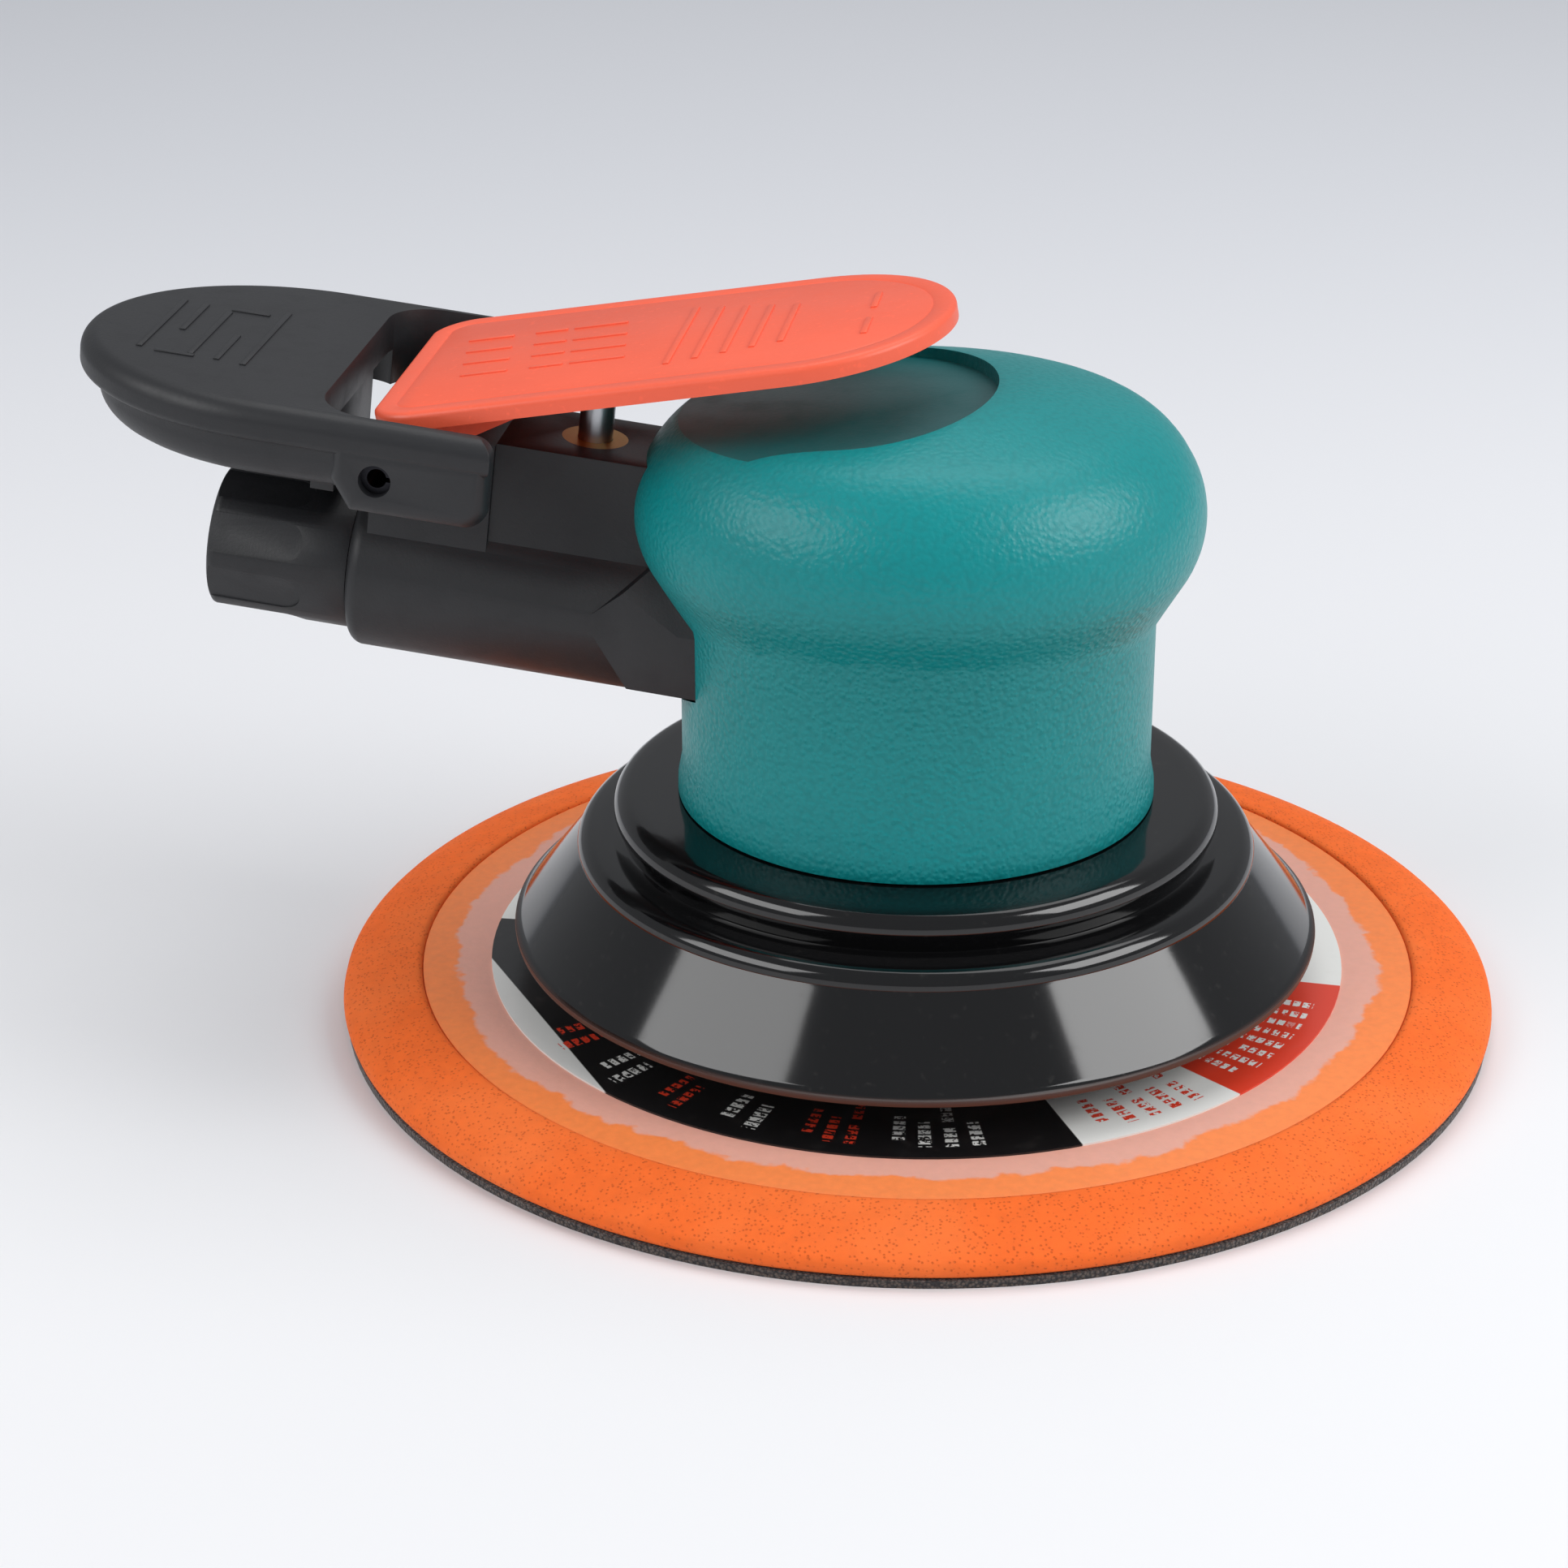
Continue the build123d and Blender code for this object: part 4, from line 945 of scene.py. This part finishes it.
@dataclass
class Grip:
    """The soft cover of the palm grip with its dished top."""

    dish_ease: float = 0.5 * MM
    least_floor: float = 60 * MM * MM
    level: float = 0.98
    pebble_full: float = 0.5
    skin_grain: float = 0.6 * MM

    def build(self) -> None:
        """Ease the cover's edges and give the dish its smoother skin, in a teal darkened as painted shade.
        """
        low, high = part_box("grip_cover")
        cover = Handwork.from_node("grip_cover", "grip_skin")
        Handwork.ease(cover, self.dish_ease, 3, 34.0)
        Handwork.finish(cover, 40.0)
        tall = high.z - low.z
        full_below = low.z + self.pebble_full * tall
        dress(cover, Pebble("teal_pebble", Paints.TEAL.value, full_below, high.z).make())
        # painted shade: the dish's smoother skin takes the darkened teal
        skin = Moulding("teal_smooth", Paints.DISH_TEAL.value, 0.36, grain=self.skin_grain, coat=0.1)
        cover.data.materials.append(skin.make())
        smooth = len(cover.data.materials) - 1
        dish_front = 0.2 * high.x
        for face in cover.data.polygons:
            level = face.area > self.least_floor and face.normal.z > self.level
            if level and face.center.x < dish_front:
                face.material_index = smooth
        place_piece(cover, "housing", "teal_rubber", "grip_cover")
        log.info("grip: cover with dish")


@dataclass
class Bars:
    """Plain raised bars on a flat top, in place of any lettering."""

    height: float = 0.2 * MM
    ease: float = 0.08 * MM
    sunk: float = 0.02 * MM

    def make(
        self,
        name: str,
        origin: Vector,
        along: Vector,
        up: Vector,
        bars: list[tuple[float, float, float, float]],
    ) -> bpy.types.Object:
        """Model a set of bars as one piece.

        Args:
            name: The piece's name.
            origin: A point on the surface; the bars' middles lie just under it.
            along: The direction of the surface's length.
            up: The surface's normal.
            bars: Place along and across, length and width of each bar.

        Returns:
            The piece.
        """
        across = up.cross(along)
        tilt = math.atan(along.z / along.x)
        made = []
        for place, side, length, width in bars:
            bpy.ops.object.select_all(action="DESELECT")
            spot = origin - up * self.sunk + along * place + across * side
            bpy.ops.mesh.primitive_cube_add(size=1.0, location=spot, rotation=(0, -tilt, 0))
            bar = bpy.context.object
            bar.scale = (length, width, 2 * self.height)
            Handwork.only(bar)
            bpy.ops.object.transform_apply(location=True, rotation=True, scale=True)
            bpy.ops.object.mode_set(mode="EDIT")
            bpy.ops.mesh.select_all(action="SELECT")
            bpy.ops.mesh.bevel(offset=self.ease, segments=2, affect="EDGES")
            bpy.ops.object.mode_set(mode="OBJECT")
            made.append(bar)
        bpy.ops.object.select_all(action="DESELECT")
        for bar in made:
            bar.select_set(True)
        bpy.context.view_layer.objects.active = made[0]
        bpy.ops.object.join()
        made[0].name = name
        return Handwork.finish(made[0])


@dataclass
class Lever:
    """The throttle lever with its bordered top."""

    angle: float = 9.1
    border: float = 1.7 * MM
    groove: float = 0.35 * MM
    groove_depth: float = 0.16 * MM
    least_top: float = 300 * MM * MM
    top_depth: float = 0.5 * MM
    bar_width: float = 0.8 * MM

    def build(self) -> None:
        """Cut the border groove and add the plain marks."""
        lean = math.radians(self.angle)
        up = Vector((-math.sin(lean), 0, math.cos(lean)))
        along = Vector((math.cos(lean), 0, math.sin(lean)))
        lever = Handwork.from_node("throttle_lever", "throttle_paddle")
        found = Handwork.pick_faces(lever, up, self.least_top)
        Handwork.only(lever)
        bpy.ops.object.mode_set(mode="EDIT")
        if found:
            bpy.ops.mesh.inset(thickness=self.border)
            bpy.ops.mesh.inset(thickness=self.groove, depth=-self.groove_depth)
            bpy.ops.mesh.inset(thickness=self.groove, depth=self.groove_depth)
        bpy.ops.object.mode_set(mode="OBJECT")
        Handwork.finish(lever, 40.0)
        satin = Moulding("lever_satin", Paints.LEVER.value, 0.42, grain=0.3 * MM, contrast=0.07, coat=0.15)
        paddle = satin.make()
        dress(lever, paddle)
        place_piece(lever, "lever", "lever_plastic", "throttle_lever")
        points = [vertex.co for vertex in lever.data.vertices]
        top = max(point.dot(up) for point in points)
        rear = min(point.dot(along) for point in points if point.dot(up) > top - self.top_depth)
        marks = Bars().make("paddle_marks", up * top + along * rear, along, up, self.bars())
        dress(marks, paddle)
        place_piece(marks, "lever", "lever_plastic")
        log.info("lever: bordered paddle (%d top faces) and marks", found)

    def bars(self) -> list[tuple[float, float, float, float]]:
        """Lay out the lever's marks.

        Returns:
            Place from the rear edge, place across, length and width of each bar.
        """
        words = [
            ((place + 0.8 * row) * MM, (9.0 - 5.2 * row) * MM, length * MM, 0.7 * MM)
            for row in range(4)
            for place, length in ((9.5, 6.0), (17.5, 4.2), (24.0, 7.0))
        ]
        emblem = [
            ((36 + 3.4 * row) * MM, 0.0, self.bar_width, (24 - 2 * row) * MM)
            for row in range(5)
        ]
        tip = [(60 * MM, side * 5.5 * MM, self.bar_width, 6.5 * MM) for side in (-1, 1)]
        return words + emblem + tip


@dataclass
class Handle:
    """The neck, the wrist rest with its fork, and the silencer cap."""

    neck_ease: float = 0.45 * MM
    rest_ease: float = 0.3 * MM
    cap_ease: float = 0.3 * MM
    bar_width: float = 0.8 * MM

    def build(self) -> None:
        """Ease the mouldings' edges and give them one grained finish."""
        dark = Moulding("grained_composite", Paints.COMPOSITE.value, 0.46, coat=0.05).make()
        for node, name, width, sharp, crisp in (
            ("motor_housing", "neck_housing", self.neck_ease, 24.0, 35.0),
            ("wrist_rest", "rest_tongue", self.rest_ease, 38.0, 40.0),
            ("muffler_cap", "silencer_cap", self.cap_ease, 24.0, 35.0),
        ):
            moulding = Handwork.from_node(node, name)
            Handwork.ease(moulding, width, 2, sharp)
            Handwork.finish(moulding, crisp)
            dress(moulding, dark)
            place_piece(moulding, "housing", "black_composite", node)
        self.mark_rest(dark)
        log.info("handle: neck, rest, cap")

    def mark_rest(self, material: bpy.types.Material) -> None:
        """Add the rest's plain marks.

        Args:
            material: The rest's own material.
        """
        inlet = next(mount for mount in frame["record"]["mounts"] if mount["name"] == "air_inlet")
        out = Vector(inlet["axis"]).normalized()
        up = Vector((out.z, 0, -out.x))
        points = [vertex.co for vertex in frame["nodes"]["wrist_rest"].data.vertices]
        top = max(point.dot(up) for point in points)
        tip = max(point.dot(out) for point in points)
        lines = [
            (place * MM, side * MM, self.bar_width, width * MM)
            for place, side, width in (
                (-9.5, 0, 20),
                (-12.5, -4, 11),
                (-16.0, 1, 18),
                (-19.5, 5.5, 10),
                (-23.0, 0, 22),
            )
        ]
        ends = [
            (place * MM, side * MM, 5 * MM, self.bar_width)
            for place, side in ((-14.2, 10.5), (-18.5, -9.0))
        ]
        marks = Bars().make("rest_marks", up * top + out * tip, out, up, lines + ends)
        dress(marks, material)
        place_piece(marks, "housing", "black_composite")


class Metalwork(Enum):
    """Finishes of the parts that are mostly out of sight, by record slot."""

    bare_steel = Metal("ground_steel", paint(198, 200, 204), 0.24)
    black_steel = Metal("blacked_steel", paint(46, 46, 50), 0.34)
    bearing_steel = Metal("bearing_steel", paint(208, 210, 214), 0.16)
    rotor_aluminium = Metal("turned_aluminium", paint(204, 206, 210), 0.32)
    brass_mesh = Metal("turned_brass", paint(196, 162, 92), 0.3)
    cage_nylon = Moulding("cage_nylon", paint(220, 210, 180), 0.5)
    vane_composite = Moulding("vane_phenolic", paint(112, 70, 44), 0.55)
    seal_rubber = Moulding("seal_rubber", paint(24, 24, 26), 0.5)
    felt = Fibre("pressed_felt", paint(190, 186, 176), paint(222, 218, 208), 0.3 * MM)


def dress_hidden() -> None:
    """Give every CAD node that still shows its own finish."""
    slots = {part["node"]: part["material_slot"] for part in frame["record"]["subparts"]}
    made: dict[str, bpy.types.Material] = {}
    for node, piece in frame["nodes"].items():
        slot = slots[node]
        if piece.hide_render or slot not in Metalwork.__members__:
            continue
        if slot not in made:
            made[slot] = Metalwork[slot].value.make()
        dress(piece, made[slot])
    log.info("inner parts: %d finishes", len(made))


# ---- studio ------------------------------------------------------------------------------------------
@dataclass(frozen=True)
class SoftBox:
    """A rectangular soft light that faces the tool."""

    name: str
    around: float
    height: float
    away: float
    size: tuple[float, float]
    power: float
    aim_height: float = 0.04

    def hang(self) -> None:
        """Hang the light at its angle round the tool, its elevation and its distance."""
        turn, lift = math.radians(self.around), math.radians(self.height)
        flat = math.cos(lift)
        heading = Vector((math.cos(turn) * flat, math.sin(turn) * flat, math.sin(lift)))
        data = bpy.data.lights.new(self.name, "AREA")
        data.shape = "RECTANGLE"
        data.size, data.size_y = self.size
        data.energy = self.power
        light = bpy.data.objects.new(self.name, data)
        light.location = heading * self.away + Vector((0, 0, self.aim_height))
        light.rotation_euler = heading.to_track_quat("Z", "Y").to_euler()
        bpy.context.scene.collection.objects.link(light)


@dataclass
class Studio:
    """Floor, lights and camera."""

    lens: float = 80.13
    sensor: float = 36.0
    elevation: float = 24.28
    azimuth: float = 8.0
    roll: float = -0.19
    depth: float = 0.4681
    aim_right: float = 0.037395
    aim_down: float = 0.057093
    floor_size: float = 8.0
    floor_gap: float = 0.01 * MM
    air: tuple[float, float, float, float] = (0.80, 0.82, 0.86, 1.0)
    air_strength: float = 0.42
    boxes: tuple[SoftBox, ...] = (
        SoftBox("left_box", 214, 34, 0.95, (0.66, 0.44), 3.5),
        SoftBox("right_box", 348, 36, 0.95, (0.62, 0.5), 5.6),
        SoftBox("top_box", 75, 70, 1.1, (0.9, 0.7), 3.8),
    )

    def build(self) -> None:
        """Set up the whole studio."""
        self.camera()
        self.floor()
        for box in self.boxes:
            box.hang()
        world = bpy.data.worlds.new("studio_air")
        bpy.context.scene.world = world
        world.use_nodes = True
        backdrop = world.node_tree.nodes["Background"]
        backdrop.inputs["Color"].default_value = self.air
        backdrop.inputs["Strength"].default_value = self.air_strength
        bpy.context.scene.view_settings.view_transform = "Standard"
        log.info("studio: camera, floor, %d soft boxes", len(self.boxes))

    def camera(self) -> None:
        """Put the camera at its angle and distance, aimed beside the pad's middle."""
        lift = math.radians(self.elevation)
        turn = math.radians(self.azimuth)
        roll = math.radians(self.roll)
        flat = math.cos(lift)
        forward = Vector((-math.sin(turn) * flat, math.cos(turn) * flat, -math.sin(lift)))
        right = Vector((math.cos(turn), math.sin(turn), 0))
        up = right.cross(forward)
        right, up = (
            right * math.cos(roll) + up * math.sin(roll),
            up * math.cos(roll) - right * math.sin(roll),
        )
        low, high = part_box("hook_face")
        target = Vector(((low.x + high.x) / 2, (low.y + high.y) / 2, low.z))
        data = bpy.data.cameras.new("main_camera")
        data.lens = self.lens
        data.sensor_width = self.sensor
        data.clip_start = 0.01
        camera = bpy.data.objects.new("main_camera", data)
        bpy.context.scene.collection.objects.link(camera)
        spot = target - self.depth * (forward + right * self.aim_right - up * self.aim_down)
        turned = Matrix((right, up, -forward)).transposed()
        camera.matrix_world = Matrix.Translation(spot) @ turned.to_4x4()
        bpy.context.scene.camera = camera

    def floor(self) -> None:
        """Lay a pale floor whose painted shade greys it towards the back."""
        bpy.ops.object.select_all(action="DESELECT")
        level = CAD_BOX[0][2] - self.floor_gap
        bpy.ops.mesh.primitive_plane_add(size=self.floor_size, location=(0, 0, level))
        sheet = bpy.context.object
        sheet.name = "studio_floor"
        graph = Graph("pale_floor")
        # painted shade: the floor darkens towards the back, standing in for the light falling off
        back = graph.axis("Y").rises(-0.1, 0.5)
        tone = graph.mix(back, paint(238, 238, 240), paint(224, 226, 231))
        grain = graph.noise(2 * MM, 2.0)
        dress(sheet, graph.surface(Base_Color=tone, Roughness=0.6 + grain * 0.1))


def main() -> None:
    """Build the whole model in order."""
    logging.basicConfig(level=logging.INFO, format="%(name)s: %(message)s")
    Studio().build()
    for part in (Pad(), Shroud(), Grip(), Lever(), Handle()):
        part.build()
    dress_hidden()


if __name__ == "__main__":
    main()
